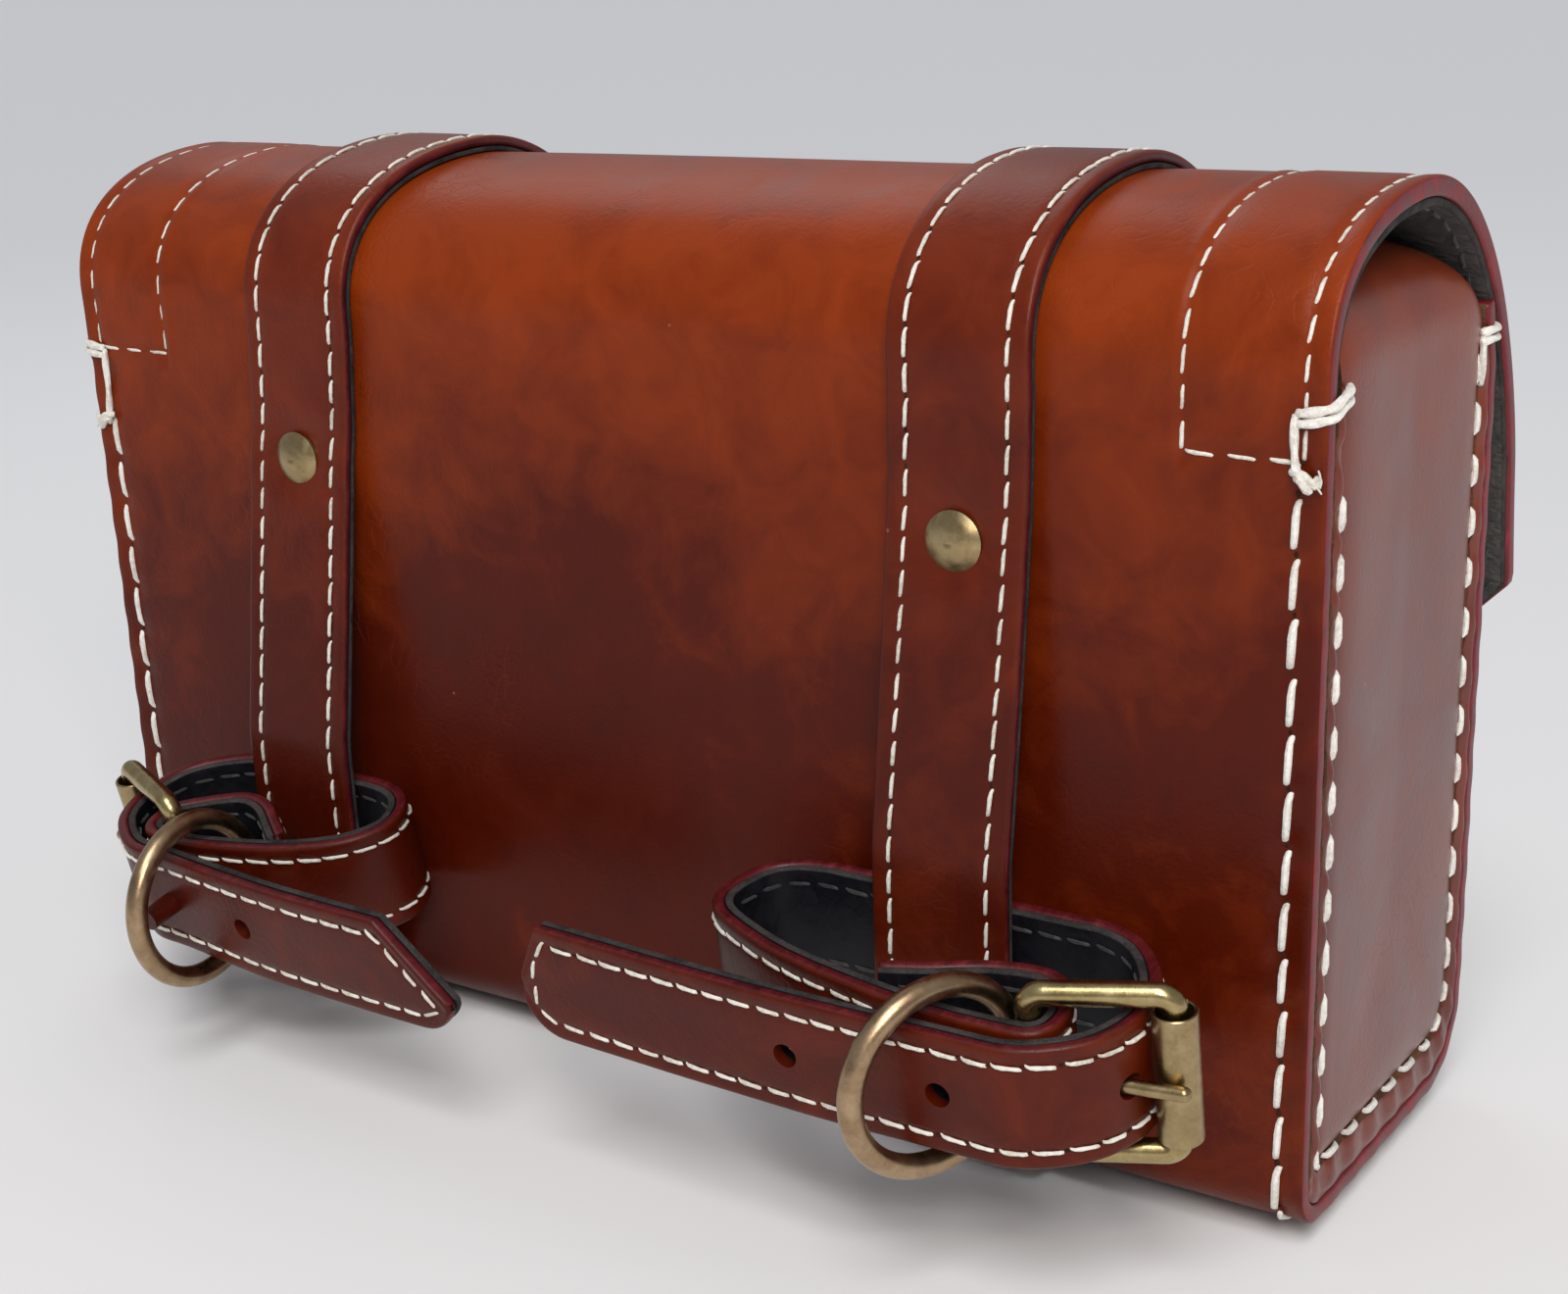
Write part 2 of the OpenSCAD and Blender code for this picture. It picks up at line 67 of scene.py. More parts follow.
# ---- Sizes, in millimetres in the bag's own frame ------------------------
# (middle of the body, underside of the wrap)
BODY_W, BODY_D, BODY_H = 260.0, 72.0, 160.0
LEATHER_T = 3.0
FOLD_Z, FLAP_Z = 129.0, 62.0  # where the flap bends, and its front edge
FRONT_R, BACK_R = 15.0, 8.0  # the wrap's bends under the front and back walls
STANDOFF = 19.0  # the flap's edge in front of the front wall
CORNER_CUT = 24.0
STRIP_W, STRIP_T = 25.0, 1.5
STRAP_X, STRAP_W, STRAP_T, STRAP_BACK_T = 71.0, 25.0, 1.9, 1.1
STRAP_ALL = STRAP_T + STRAP_BACK_T
RIVET_Z = 107.5
CHAPE_Z, CHAPE_T = 36.0, 2.2
CLOSURE_TIP_Z = 20.0
CLOSURE_HOLE_UP, CLOSURE_HOLE_STEP = 14, 11  # first hole above the tip, and between holes
STRAP_SEAM, MOUNT_SEAM = 9.0, 7.5  # stitch lines, from the straps' middles
MOUNT_W, MOUNT_T, MOUNT_BACK_T = 21.0, 3.6, 1.4
WIRE_R, BUCKLE_L, ROLLER_R = 2.0, 21.5, 3.5
RING_R = 15.0
TUNNEL_GAP = 0.5
FRAME_ANGLE = 21.8  # of the mounting buckles' frames, in degrees
HOLE_R = 2.1
SLOT_HALF = 2.6
ROLLER_WALL, ROLLER_LIP = 0.55, 0.14
MOUNT_ROLLER_L, FRONT_ROLLER_L = 22.4, 25.4
BOTH = (1, "right"), (-1, "left")
low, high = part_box("body_wrap")
MID_Y = 500 * (low.y + high.y)
LIFT = 1000 * low.z


class Strap:
    """How one mounting strap hangs: the numbers of part.scad. heel, ring and tip are distances from
    the middle of the bag and out of its back; cut is the drop and the length of the tip's slant, and
    holes are the open holes' distances from the middle."""

    def __init__(self, side, droop, mid_z, bend_x, heel, ring, lean, tip, cut, holes):
        self.side, self.droop, self.mid_z, self.bend_x = side, math.radians(droop), mid_z, bend_x
        self.heel, self.ring, self.lean, self.tip = heel, ring, math.radians(lean), tip
        self.cut, self.holes = cut, holes
        self.tunnel = (
            MOUNT_T * math.cos(self.droop) + MOUNT_W * math.sin(self.droop) + 2 * TUNNEL_GAP
        )
        self.y = -BODY_D / 2 - self.tunnel / 2

    def to_bag(self, p, t):
        """A point (x, v) of the strap's path, v towards the front, and t across its width, to the
        bag's frame."""
        c, s = math.cos(self.droop), math.sin(self.droop)
        x, v = p[..., 0], p[..., 1]
        return np.stack(
            [self.side * x, self.y + v * c - t * s, self.mid_z + v * s + t * c], axis=-1
        )


RIGHT = Strap(1, 8, 39, 35.3, (99, 26.5), (86, 33.6), 25, (7.4, 35), (10, 5), (89, 62))
LEFT = Strap(-1, 12, 36.5, 43.8, (86, 24.5), (75.5, 32.7), 3, (9, 36.5), (15, 14), (79, 58.5))
STRAPS = {"right": RIGHT, "left": LEFT}


def world(p):
    """Bag frame in millimetres to the row frame in metres."""
    return (np.asarray(p, float) + (0, MID_Y, LIFT)) / 1000


# ---- Paths ----------------------------------------------------------------
def arc(centre, r, a0, a1, n):
    a = np.radians(np.linspace(a0, a1, n + 1))
    return [(centre[0] + r * math.cos(x), centre[1] + r * math.sin(x)) for x in a]


def bezier(p, n):
    out = []
    for i in range(1, n + 1):
        t = i / n
        w = ((1 - t) ** 3, 3 * t * (1 - t) ** 2, 3 * t * t * (1 - t), t**3)
        out.append(tuple(sum(w[k] * p[k][j] for k in range(4)) for j in (0, 1)))
    return out


def smooth_curve(points, n):
    """Catmull-Rom curve through every point."""
    p = [np.array(q, float) for q in points]
    out = []
    for i in range(len(p) - 1):
        a, b, c, d = p[max(i - 1, 0)], p[i], p[i + 1], p[min(i + 2, len(p) - 1)]
        for j in range(n):
            t = j / n
            out.append(
                0.5
                * (
                    2 * b
                    + (c - a) * t
                    + (2 * a - 5 * b + 4 * c - d) * t * t
                    + (3 * b - a - 3 * c + d) * t**3
                )
            )
    return out + [p[-1]]


class Path:
    """A curve in a plane, read by its length along it. Its normal is to the left of its direction."""

    def __init__(self, points, soften=0.0):
        p = np.array([tuple(q) for q in points], float)
        keep = np.r_[True, np.linalg.norm(np.diff(p, axis=0), axis=1) > 1e-6]
        p = p[keep]
        s = np.r_[0, np.cumsum(np.linalg.norm(np.diff(p, axis=0), axis=1))]
        fine = np.linspace(0, s[-1], max(8, int(s[-1] / 0.5)))
        q = np.stack([np.interp(fine, s, p[:, k]) for k in (0, 1)], axis=1)
        if soften:
            n = max(1, int(soften / (fine[1] - fine[0])))
            for _ in range(3):
                pad = np.concatenate(
                    [2 * q[0] - q[n:0:-1], q, 2 * q[-1] - q[-2 : -n - 2 : -1]]
                )
                kernel = np.ones(2 * n + 1) / (2 * n + 1)
                q = np.stack([np.convolve(pad[:, k], kernel, "valid") for k in (0, 1)], axis=1)
        self.q = q
        self.s = np.r_[0, np.cumsum(np.linalg.norm(np.diff(q, axis=0), axis=1))]
        d = np.gradient(q, self.s, axis=0)
        d /= np.linalg.norm(d, axis=1)[:, None]
        self.n = np.stack([-d[:, 1], d[:, 0]], axis=1)
        self.length = self.s[-1]

    def at(self, s, off=0.0):
        s = np.asarray(s, float)
        p = np.stack([np.interp(s, self.s, self.q[:, k]) for k in (0, 1)], axis=-1)
        n = np.stack([np.interp(s, self.s, self.n[:, k]) for k in (0, 1)], axis=-1)
        n /= np.linalg.norm(n, axis=-1)[..., None]
        return p + np.asarray(off)[..., None] * n

    def find(self, y=None, z=None, start=0.0, end=None):
        """Length at which the path is nearest to a y or z, between two lengths."""
        end = self.length if end is None else end
        m = (self.s >= start) & (self.s <= end)
        v = self.q[:, 0] - y if y is not None else self.q[:, 1] - z
        v = np.where(m, np.abs(v), 1e9)
        return self.s[int(np.argmin(v))]


front_arc = arc((BODY_D / 2 - FRONT_R, FRONT_R), FRONT_R, 0, -90, 14)
back_arc = arc((-BODY_D / 2 + BACK_R, BACK_R), BACK_R, -90, -180, 10)
CROWN = (0.0, BODY_H)
BROW = (BODY_D / 2 + STANDOFF * 0.67, BODY_H - (BODY_H - FLAP_Z) * 0.52)
FLAP_LOW = (BODY_D / 2 + STANDOFF, FLAP_Z)
flap_points = (
    [(-BODY_D / 2, FOLD_Z), (-BODY_D / 2, FOLD_Z + 4)]
    + bezier([(-BODY_D / 2, FOLD_Z + 4), (-BODY_D / 2 - 2, FOLD_Z + 23), (-20, BODY_H - 0.5), CROWN], 24)
    + bezier([CROWN, (20, BODY_H + 0.3), (BROW[0] - 8, BODY_H - 14), BROW], 28)
    + [FLAP_LOW]
)
slope = np.array(FLAP_LOW) - np.array(BROW)
slope = slope / np.linalg.norm(slope)
closure_end = np.array(FLAP_LOW) + slope * (FLAP_Z - CLOSURE_TIP_Z) / -slope[1]
WALL_TOP = [(33.2, 137.5), (34.2, 133.5), (35.4, 129), (36, 124), (36, 118)]
WRAP = Path(WALL_TOP + front_arc + back_arc + flap_points, soften=1.2)
S_BOTTOM = WRAP.find(y=-4, start=130, end=190)
S_BACK = S_BOTTOM + 45  # on the back panel, low
S_FOLD = WRAP.find(z=FOLD_Z, start=S_BACK, end=S_BACK + 140)
S_CROWN = WRAP.find(y=0, start=S_FOLD)


# ---- Mesh building ---------------------------------------------------------
SHARP = 38  # edges bent more than this many degrees are shaded sharp
FINE, FINE_END = (0.0, 0.12, 0.35, 0.8), 1.5  # rows of a strip's rounded end, and where they stop


def new_object(name, data):
    obj = bpy.data.objects.new(name, data)
    bpy.context.scene.collection.objects.link(obj)
    return obj


class Build:
    """Gathers vertices, faces and material numbers into one mesh."""

    def __init__(self):
        self.v, self.f, self.m, self.count = [], [], [], 0

    def add(self, verts, faces, mats):
        self.v.append(np.asarray(verts, float))
        self.f.extend([tuple(i + self.count for i in f) for f in faces])
        self.m.extend(mats if hasattr(mats, "__len__") else [mats] * len(faces))
        self.count += len(verts)

    def make(self, name, mats, sharp=SHARP):
        mesh = bpy.data.meshes.new(name)
        verts = world(np.concatenate(self.v))
        mesh.from_pydata([tuple(p) for p in verts], [], self.f)
        for m in mats:
            mesh.materials.append(m)
        mesh.polygons.foreach_set("material_index", self.m)
        bm = bmesh.new()
        bm.from_mesh(mesh)
        bmesh.ops.recalc_face_normals(bm, faces=bm.faces)
        bm.to_mesh(mesh)
        bm.free()
        shade(mesh, sharp)
        return new_object(name, mesh)


def shade(mesh, sharp):
    mesh.polygons.foreach_set("use_smooth", [True] * len(mesh.polygons))
    mesh.set_sharp_from_angle(angle=math.radians(sharp))
    mesh.update()


def grid_faces(rows, cols, wrap_cols=True):
    last = cols if wrap_cols else cols - 1
    return [
        (r * cols + c, r * cols + (c + 1) % cols, (r + 1) * cols + (c + 1) % cols, (r + 1) * cols + c)
        for r in range(rows - 1)
        for c in range(last)
    ]


def caps(rows, cols):
    """The faces that close both ends of a tube."""
    return [tuple(range(cols))[::-1], tuple((rows - 1) * cols + i for i in range(cols))]


def unit(v):
    return v / np.linalg.norm(v)


def spaced(*spans):
    """Numbers from spans of (start, end, step), each end joined to the next start."""
    out = []
    for a, b, step in spans:
        n = max(1, int(round(abs(b - a) / step)))
        out += list(np.linspace(a, b, n, endpoint=False))
    out.append(spans[-1][1])
    return np.array(out)


def end_rows(length, step):
    """Lengths along a strip, close together at both ends for their rounding."""
    inner = np.linspace(FINE_END, length - FINE_END, max(2, int((length - 2 * FINE_END) / step)))
    return np.r_[FINE, inner, [length - f for f in reversed(FINE)]]


def strip(builder, path, rows, cols, n0, n1, to3, tags=(0, 1, 2), low_edge=None, high_edge=None,
          dent=None, round_r=0.7, round_ends=(True, True), under_dent=0.0, edge_wave=None, drift=None):
    """A closed band of leather along a path: rows are lengths, cols the positions across its
    top face, n0 and n1 its bottom's and top's distance from the path. tags are the material
    numbers of the top, the edges and the bottom."""
    w0, w1 = cols[0], cols[-1]
    lo = np.array([low_edge(s) if low_edge else w0 for s in rows])
    hi = np.array([high_edge(s) if high_edge else w1 for s in rows])
    if edge_wave is not None:
        lo, hi = lo - edge_wave(rows, -1), hi + edge_wave(rows, 1)
    width = hi - lo
    r = np.minimum(round_r, width * 0.3)
    half = min(round_r, (n1 - n0) * 0.45)
    a = np.radians((90, 60, 30, 0))
    section, section_tags = [], []
    for c in cols:
        section.append(("t", (c - w0) / (w1 - w0), 0.0))
        section_tags.append(tags[0])
    for x in a[1:]:
        section.append(("h", 1 - math.cos(x), 1 - math.sin(x)))
        section_tags.append(tags[0] if x > 0.9 else tags[1])
    for x in a[::-1]:
        section.append(("H", 1 - math.cos(x), 1 - math.sin(x)))
        section_tags.append(tags[1])
    section_tags[-1] = tags[2]
    for c in cols[::-1][1:-1:3]:
        section.append(("b", (c - w0) / (w1 - w0), 0.0))
        section_tags.append(tags[2])
    for x in a:
        section.append(("L", 1 - math.cos(x), 1 - math.sin(x)))
        section_tags.append(tags[1])
    for x in a[::-1][:-1]:
        section.append(("l", 1 - math.cos(x), 1 - math.sin(x)))
        section_tags.append(tags[0] if x > 0.9 else tags[1])
    ends = np.minimum(rows - rows[0] + (0 if round_ends[0] else 9),
                      rows[-1] - rows + (0 if round_ends[1] else 9))
    e = np.where(ends < half, half - np.sqrt(np.maximum(0, half**2 - (half - ends) ** 2)), 0)
    columns = []
    for kind, u, d in section:
        if kind in "tb":
            t = lo + r + u * (width - 2 * r)
        elif kind in "hH":
            t = hi - u * r
        else:
            t = lo + u * r
        top = kind in "thl"
        n = (n1 - e - d * half) if top else (n0 + e + d * half)
        if dent is not None:
            n = n + dent(rows, t, lo, hi) * (1.0 if top else under_dent)
        columns.append(to3(path.at(rows, n), t if drift is None else t + drift(rows)))
    v = np.stack(columns, axis=1)
    k = len(section)
    mats = section_tags * (len(rows) - 1) + [tags[1]] * 2
    builder.add(v.reshape(-1, 3), grid_faces(len(rows), k) + caps(len(rows), k), mats)


def bag_plane(p, t):
    return np.stack([t + 0 * p[..., 0], p[..., 0], p[..., 1]], axis=-1)


def ease(z, a, b):
    t = np.clip((z - a) / (b - a), 0, 1)
    return t * t * (3 - 2 * t)


def gauss(x, sigma):
    return np.exp(-((x / sigma) ** 2) / 2)


def wave(*p, size=1.0, seed=0.0):
    """Smooth noise for arrays, about -1 to 1."""
    p = [np.broadcast_to(q, np.broadcast(*p).shape) for q in p]
    flat = np.stack([q.ravel() for q in p] + [np.full(p[0].size, seed)] * (3 - len(p)), axis=1) / size
    return np.array([noise.noise(Vector(q) + Vector((0.3, 0.7, seed))) for q in flat]).reshape(p[0].shape)


# ---- Stitches ---------------------------------------------------------------
SIDES = 8
# Machine stitches: how much of the pitch shows, the thread's radius, slant, height and unevenness
SHOWN, THREAD_R, SLANT, THREAD_LIFT, JITTER = 0.87, 0.35, 0.3, 0.55, 0.06
ALONG = np.array([-1, -0.9, -0.68, -0.28, 0.28, 0.68, 0.9, 1])


def stitch(builder, p, d, n, length, r, slant=0.0, lift=0.55, flat=0.85, mat=0, ply=0.12):
    """One stitch: a thread that comes up, lies on the leather and goes down again."""
    side = np.cross(d, n)
    u = ALONG
    dip = np.abs(u) ** 5
    height = r * (lift - 1.35 * dip)
    centre = p + np.outer(u * length / 2, d) + np.outer(slant * u * (0.35 + 0.65 * dip),
                                                        side) + np.outer(height, n)
    radius = r * (1 - 0.32 * dip)
    a = np.linspace(0, 2 * math.pi, SIDES, endpoint=False)
    rings = []
    for i in range(len(ALONG)):
        rr = radius[i] * (1 + ply * np.cos(2 * a + 5.5 * u[i]))
        rings.append(centre[i] + np.outer(rr * np.cos(a), side) + np.outer(rr * np.sin(a) * flat, n))
    faces = grid_faces(len(ALONG), SIDES) + caps(len(ALONG), SIDES)
    builder.add(np.concatenate(rings), faces, mat)


def needle_hole(builder, p, d, n, r, mat=0):
    """The slit beside a stitch's end, a flat lens sunk in the leather, dark with the painted shade of the
    hole.
    """
    side = np.cross(d, n)
    a = np.linspace(0, 2 * math.pi, 8, endpoint=False)
    ring = p + np.outer(np.cos(a) * r * 1.5, d) + np.outer(np.sin(a) * r * 0.8, side)
    v = np.concatenate([[p + n * r * 0.16], ring - n * r * 0.08, [p - n * r * 0.6]])
    faces = [(0, 1 + i, 1 + (i + 1) % 8) for i in range(8)] + [(9, 1 + (i + 1) % 8,
        1 + i) for i in range(8)]
    builder.add(v, faces, mat)


def resample(points, normals, pitch):
    d = np.r_[0, np.cumsum(np.linalg.norm(np.diff(points, axis=0), axis=1))]
    count = max(1, int(round(d[-1] / pitch)))
    at = (np.arange(count) + 0.5) * d[-1] / count
    step = d[-1] / count

    def read(x, a):
        return np.stack([np.interp(x, d, a[:, k]) for k in range(3)], axis=-1)

    return at, step, lambda x: read(x, points), lambda x: read(x, normals)


def seam(threads, holes, points, normals, pitch=5.4, mat=0):
    """A row of stitches along a line on the leather, with needle holes in material 1 between them."""
    at, step, point, normal = resample(np.asarray(points), np.asarray(normals), pitch)
    for x in at:
        x = x + rng.uniform(-1, 1) * JITTER * step
        n = unit(normal(x))
        d = point(x + 0.4) - point(x - 0.4)
        d = unit(d - n * (d @ n))
        length = step * SHOWN * rng.uniform(0.93, 1.05)
        stitch(threads, point(x), d, n, length, THREAD_R * rng.uniform(0.92, 1.08),
               SLANT * rng.uniform(0.5, 1.4), THREAD_LIFT, mat=mat)
        if holes is not None:
            p = point(x + step / 2)
            needle_hole(holes, p, d, n, THREAD_R * 1.05, 1)


def surface_line(path, s, t, off, to3, flip=1):
    """Points and normals along a line on a strip's face."""
    s, t = np.asarray(s, float), np.asarray(t, float) + 0 * np.asarray(s, float)
    p = to3(path.at(s, off), t)
    q = to3(path.at(s, off + flip), t)
    return p, q - p


# ---- Materials --------------------------------------------------------------
def rgba(value):
    """A colour of three numbers with its alpha, or any other value as it is."""
    return (*value, 1) if isinstance(value, tuple) and len(value) == 3 else value


class Look:
    """A principled material and the nodes that feed it."""

    def __init__(self, name, **values):
        self.m = bpy.data.materials.new(name)
        self.m.use_nodes = True
        self.t = self.m.node_tree
        self.b = self.t.nodes["Principled BSDF"]
        for k, v in values.items():
            self.set(k.replace("_", " ").title().replace("Ior", "IOR"), v)
        self.coord = self.t.nodes.new("ShaderNodeTexCoord").outputs["Object"]

    def set(self, socket, value):
        self.b.inputs[socket].default_value = rgba(value)

    def node(self, kind, inputs=None, **props):
        n = self.t.nodes.new("ShaderNode" + kind)
        for k, v in props.items():
            setattr(n, k, v)
        for k, v in (inputs or {}).items():
            if hasattr(v, "is_output"):
                self.t.links.new(v, n.inputs[k])
            else:
                n.inputs[k].default_value = rgba(v) if n.inputs[k].type == "RGBA" else v
        return n

    def stretched(self, scale, rotate=(0, 0, 0)):
        return self.node("Mapping", {"Vector": self.coord, "Scale": scale, "Rotation": rotate}).outputs[0]

    def noise(self, scale, detail=3.0, rough=0.55, distort=0.0, vector=None):
        inputs = {"Vector": vector or self.coord, "Scale": scale, "Detail": detail, "Roughness": rough,
                  "Distortion": distort}
        return self.node("TexNoise", inputs).outputs["Fac"]

    def cells(self, scale, vector=None, feature="DISTANCE_TO_EDGE"):
        inputs = {"Vector": vector or self.coord, "Scale": scale}
        return self.node("TexVoronoi", inputs, feature=feature).outputs["Distance"]

    def math(self, op, a, b=0.5, extra=None):
        inputs = {0: a, 1: b} if extra is None else {0: a, 1: b, 2: extra}
        return self.node("Math", inputs, operation=op).outputs[0]

    def ramp(self, fac, *stops):
        n = self.node("ValToRGB", {"Fac": fac})
        e = n.color_ramp.elements
        while len(e) < len(stops):
            e.new(0.5)
        for k, (pos, col) in enumerate(stops):
            e[k].position = pos
            e[k].color = (*col, 1) if hasattr(col, "__len__") else (col, col, col, 1)
        return n.outputs["Color"]

    def span(self, fac, a, b, low=0.0, high=1.0):
        inputs = {"Value": fac, "From Min": a, "From Max": b, "To Min": low, "To Max": high}
        return self.node("MapRange", inputs).outputs[0]

    def mix(self, fac, a, b):
        return self.node("Mix", {0: fac, 6: a, 7: b}, data_type="RGBA").outputs[2]

    def link(self, value, socket):
        self.t.links.new(value, self.b.inputs[socket])

    def bump(self, *layers):
        """Layers of (height, depth in millimetres, strength)."""
        normal = None
        for height, depth, strength in layers:
            inputs = {"Height": height, "Distance": depth / 1000, "Strength": strength}
            if normal is not None:
                inputs["Normal"] = normal
            normal = self.node("Bump", inputs).outputs[0]
        self.link(normal, "Normal")


def leather_look(name, dark, middle, light, rough=(0.3, 0.42), crease=1.0, painted_top_light=0.0,
                 gloss=0.32, coat=0.06, coat_rough=0.2):
    """Waxed pull-up leather: clouded colour, fine grain, creases and rubs that show lighter.
    crease is how strong the creases are, and the top-light number how much lighter it gets towards the top:
    painted light from above."""
    k = Look(name, specular_ior_level=gloss, coat_weight=coat, coat_roughness=coat_rough, coat_ior=1.45)
    cloud = k.noise(13, 5, 0.6, 0.4)
    patch = k.noise(75, 6, 0.62, 0.8)
    tone = k.math("MULTIPLY_ADD", cloud, 0.36, extra=k.math("MULTIPLY_ADD", patch, 0.26, extra=0.19))
    # Painted light from above: the tone gets lighter towards the top and a little darker low down
    if painted_top_light:
        height = k.node("SeparateXYZ", {"Vector": k.coord}).outputs["Z"]
        tone = k.math("ADD", tone, k.span(height, 0.075, 0.155, -painted_top_light * 0.1, painted_top_light))
    colour = k.ramp(tone, (0.3, dark), (0.5, middle), (0.72, light))
    # Creases: the edges of distorted cells, only here and there
    push = k.node("TexNoise", {"Vector": k.coord, "Scale": 60, "Detail": 3}).outputs["Color"]
    bent = k.node("VectorMath", {0: push, 1: (0.5, 0.5, 0.5)}, operation="SUBTRACT").outputs[0]
    bent = k.node("VectorMath", {0: bent, "Scale": 0.016}, operation="SCALE").outputs[0]
    bent = k.node("VectorMath", {0: bent, 1: k.coord}, operation="ADD").outputs[0]
    cells, fine = k.cells(150, bent), k.cells(340, bent)
    where = k.span(k.noise(19, 3, 0.6), 0.53, 0.68)
    lines = k.math("MULTIPLY", k.span(cells, 0.0, 0.035, 1.0, 0.0), where)
    hair = k.math("MULTIPLY", k.span(fine, 0.0, 0.06, 1.0, 0.0),
                  k.span(k.noise(26, 3, 0.6, 0.3), 0.5, 0.66))
    rub = k.noise(30, 8, 0.75, 2.2, k.stretched((1.0, 1.0, 4.0), (0.2, 0.5, 0.3)))
    rubs = k.span(rub, 0.62, 0.75)
    colour = k.mix(k.math("MULTIPLY", lines, 0.14 * crease), colour, light)
    colour = k.mix(k.math("MULTIPLY", hair, 0.16 * crease), colour, light)
    colour = k.mix(k.math("MULTIPLY", rubs, 0.12 * crease), colour, light)
    # Specks of dust and pinpricks
    specks = k.span(k.cells(95, feature="F1"), 0.035, 0.05, 1.0, 0.0)
    specks = k.math("MULTIPLY", specks, k.span(k.noise(40, 2), 0.58, 0.62))
    colour = k.mix(k.math("MULTIPLY", specks, 0.5), colour, (0.5, 0.3, 0.18))
    k.link(colour, "Base Color")
    pore = k.noise(1100, 4, 0.7)
    pebble = k.cells(900, bent, "SMOOTH_F1")
    k.link(k.math("ADD", k.span(patch, 0.3, 0.7, rough[0], rough[1]), k.math("MULTIPLY", lines, 0.1)),
           "Roughness")
    k.bump(
        (pore, 0.10, 0.5),
        (pebble, 0.07, 0.45),
        (k.math("ADD", lines, hair), -0.12, 0.5 * crease),
        (cloud, 1.0, 0.3),
    )
    return k.m


def edge_look(name, *colours):
    """Crimson edge paint, thick in places and a little fibrous."""
    k = Look(name, specular_ior_level=0.35, coat_weight=0.08, coat_roughness=0.25)
    streak = k.noise(500, 5, 0.7, 0.6, k.stretched((1.0, 0.35, 0.35)))
    k.link(k.ramp(streak, *zip((0.3, 0.55, 0.75), colours)), "Base Color")
    k.link(k.span(streak, 0.3, 0.7, 0.32, 0.55), "Roughness")
    k.bump((streak, 0.25, 0.5), (k.noise(140, 3), 0.5, 0.3))
    return k.m


def fibre_look(name, dark, light, scale=900.0):
    """Raw, fibrous cut leather."""
    k = Look(name, specular_ior_level=0.2)
    a = k.noise(scale, 6, 0.75, 1.2)
    b = k.noise(scale * 0.15, 3, 0.6)
    k.link(k.ramp(k.math("MULTIPLY", k.math("ADD", a, b), 0.5), (0.36, dark), (0.62, light)), "Base Color")
    k.set("Roughness", 0.9)
    k.bump((a, 0.5, 0.8), (b, 0.5, 0.5))
    return k.m


def lining_look():
    """Smooth near-black lining with a faint cool sheen and fine wrinkles."""
    k = Look("lining", specular_ior_level=0.22)
    w = k.noise(260, 5, 0.65, 1.0)
    k.link(k.ramp(w, (0.3, (0.003, 0.003, 0.005)), (0.7, (0.010, 0.0095, 0.014))), "Base Color")
    k.link(k.span(w, 0.3, 0.7, 0.36, 0.55), "Roughness")
    k.bump((w, 0.25, 0.5), (k.noise(1300, 3), 0.08, 0.5))
    return k.m


def strip_look():
    """Dark grey wrinkled leather of the strips under the flap."""
    k = Look("grey_strip", specular_ior_level=0.35)
    cells = k.cells(330, k.stretched((1.0, 1.6, 2.4)))
    w = k.noise(420, 5, 0.7, 0.7)
    k.link(k.ramp(w, (0.3, (0.035, 0.033, 0.031)), (0.7, (0.085, 0.08, 0.074))), "Base Color")
    k.set("Roughness", 0.62)
    k.bump((cells, 0.5, 0.7), (w, 0.25, 0.5))
    return k.m


def thread_look(name, dark, light):
    """Waxed linen thread: fine fibres along it and a little dirt."""
    k = Look(name, specular_ior_level=0.4, sheen_weight=0.2, sheen_roughness=0.5)
    a = k.noise(1500, 4, 0.7, 0.5)
    b = k.noise(120, 3, 0.6)
    k.link(k.ramp(k.math("MULTIPLY", k.math("ADD", a, b), 0.5), (0.33, dark), (0.55, light)), "Base Color")
    k.set("Roughness", 0.55)
    k.bump((a, 0.18, 0.7))
    return k.m


def brass_look(name, deep, middle, bright, rough=(0.22, 0.42)):
    """Antique plated brass: brown in the hollows, rubbed brighter, with fine brush lines."""
    k = Look(name, metallic=1.0)
    cloud = k.noise(210, 4, 0.6, 0.6)
    speck = k.noise(1500, 3, 0.6)
    k.link(k.ramp(k.math("ADD", k.math("MULTIPLY", cloud, 0.75), k.math("MULTIPLY", speck, 0.25)),
                  (0.25, deep), (0.5, middle), (0.75, bright)), "Base Color")
    brush = k.noise(900, 3, 0.6, 0.2, k.stretched((1.0, 1.0, 0.1)))
    k.link(k.span(k.math("ADD", cloud, k.math("MULTIPLY", brush, 0.4)), 0.4, 1.0, rough[0], rough[1]),
           "Roughness")
    k.bump((brush, 0.03, 0.5), (speck, 0.03, 0.5))
    return k.m


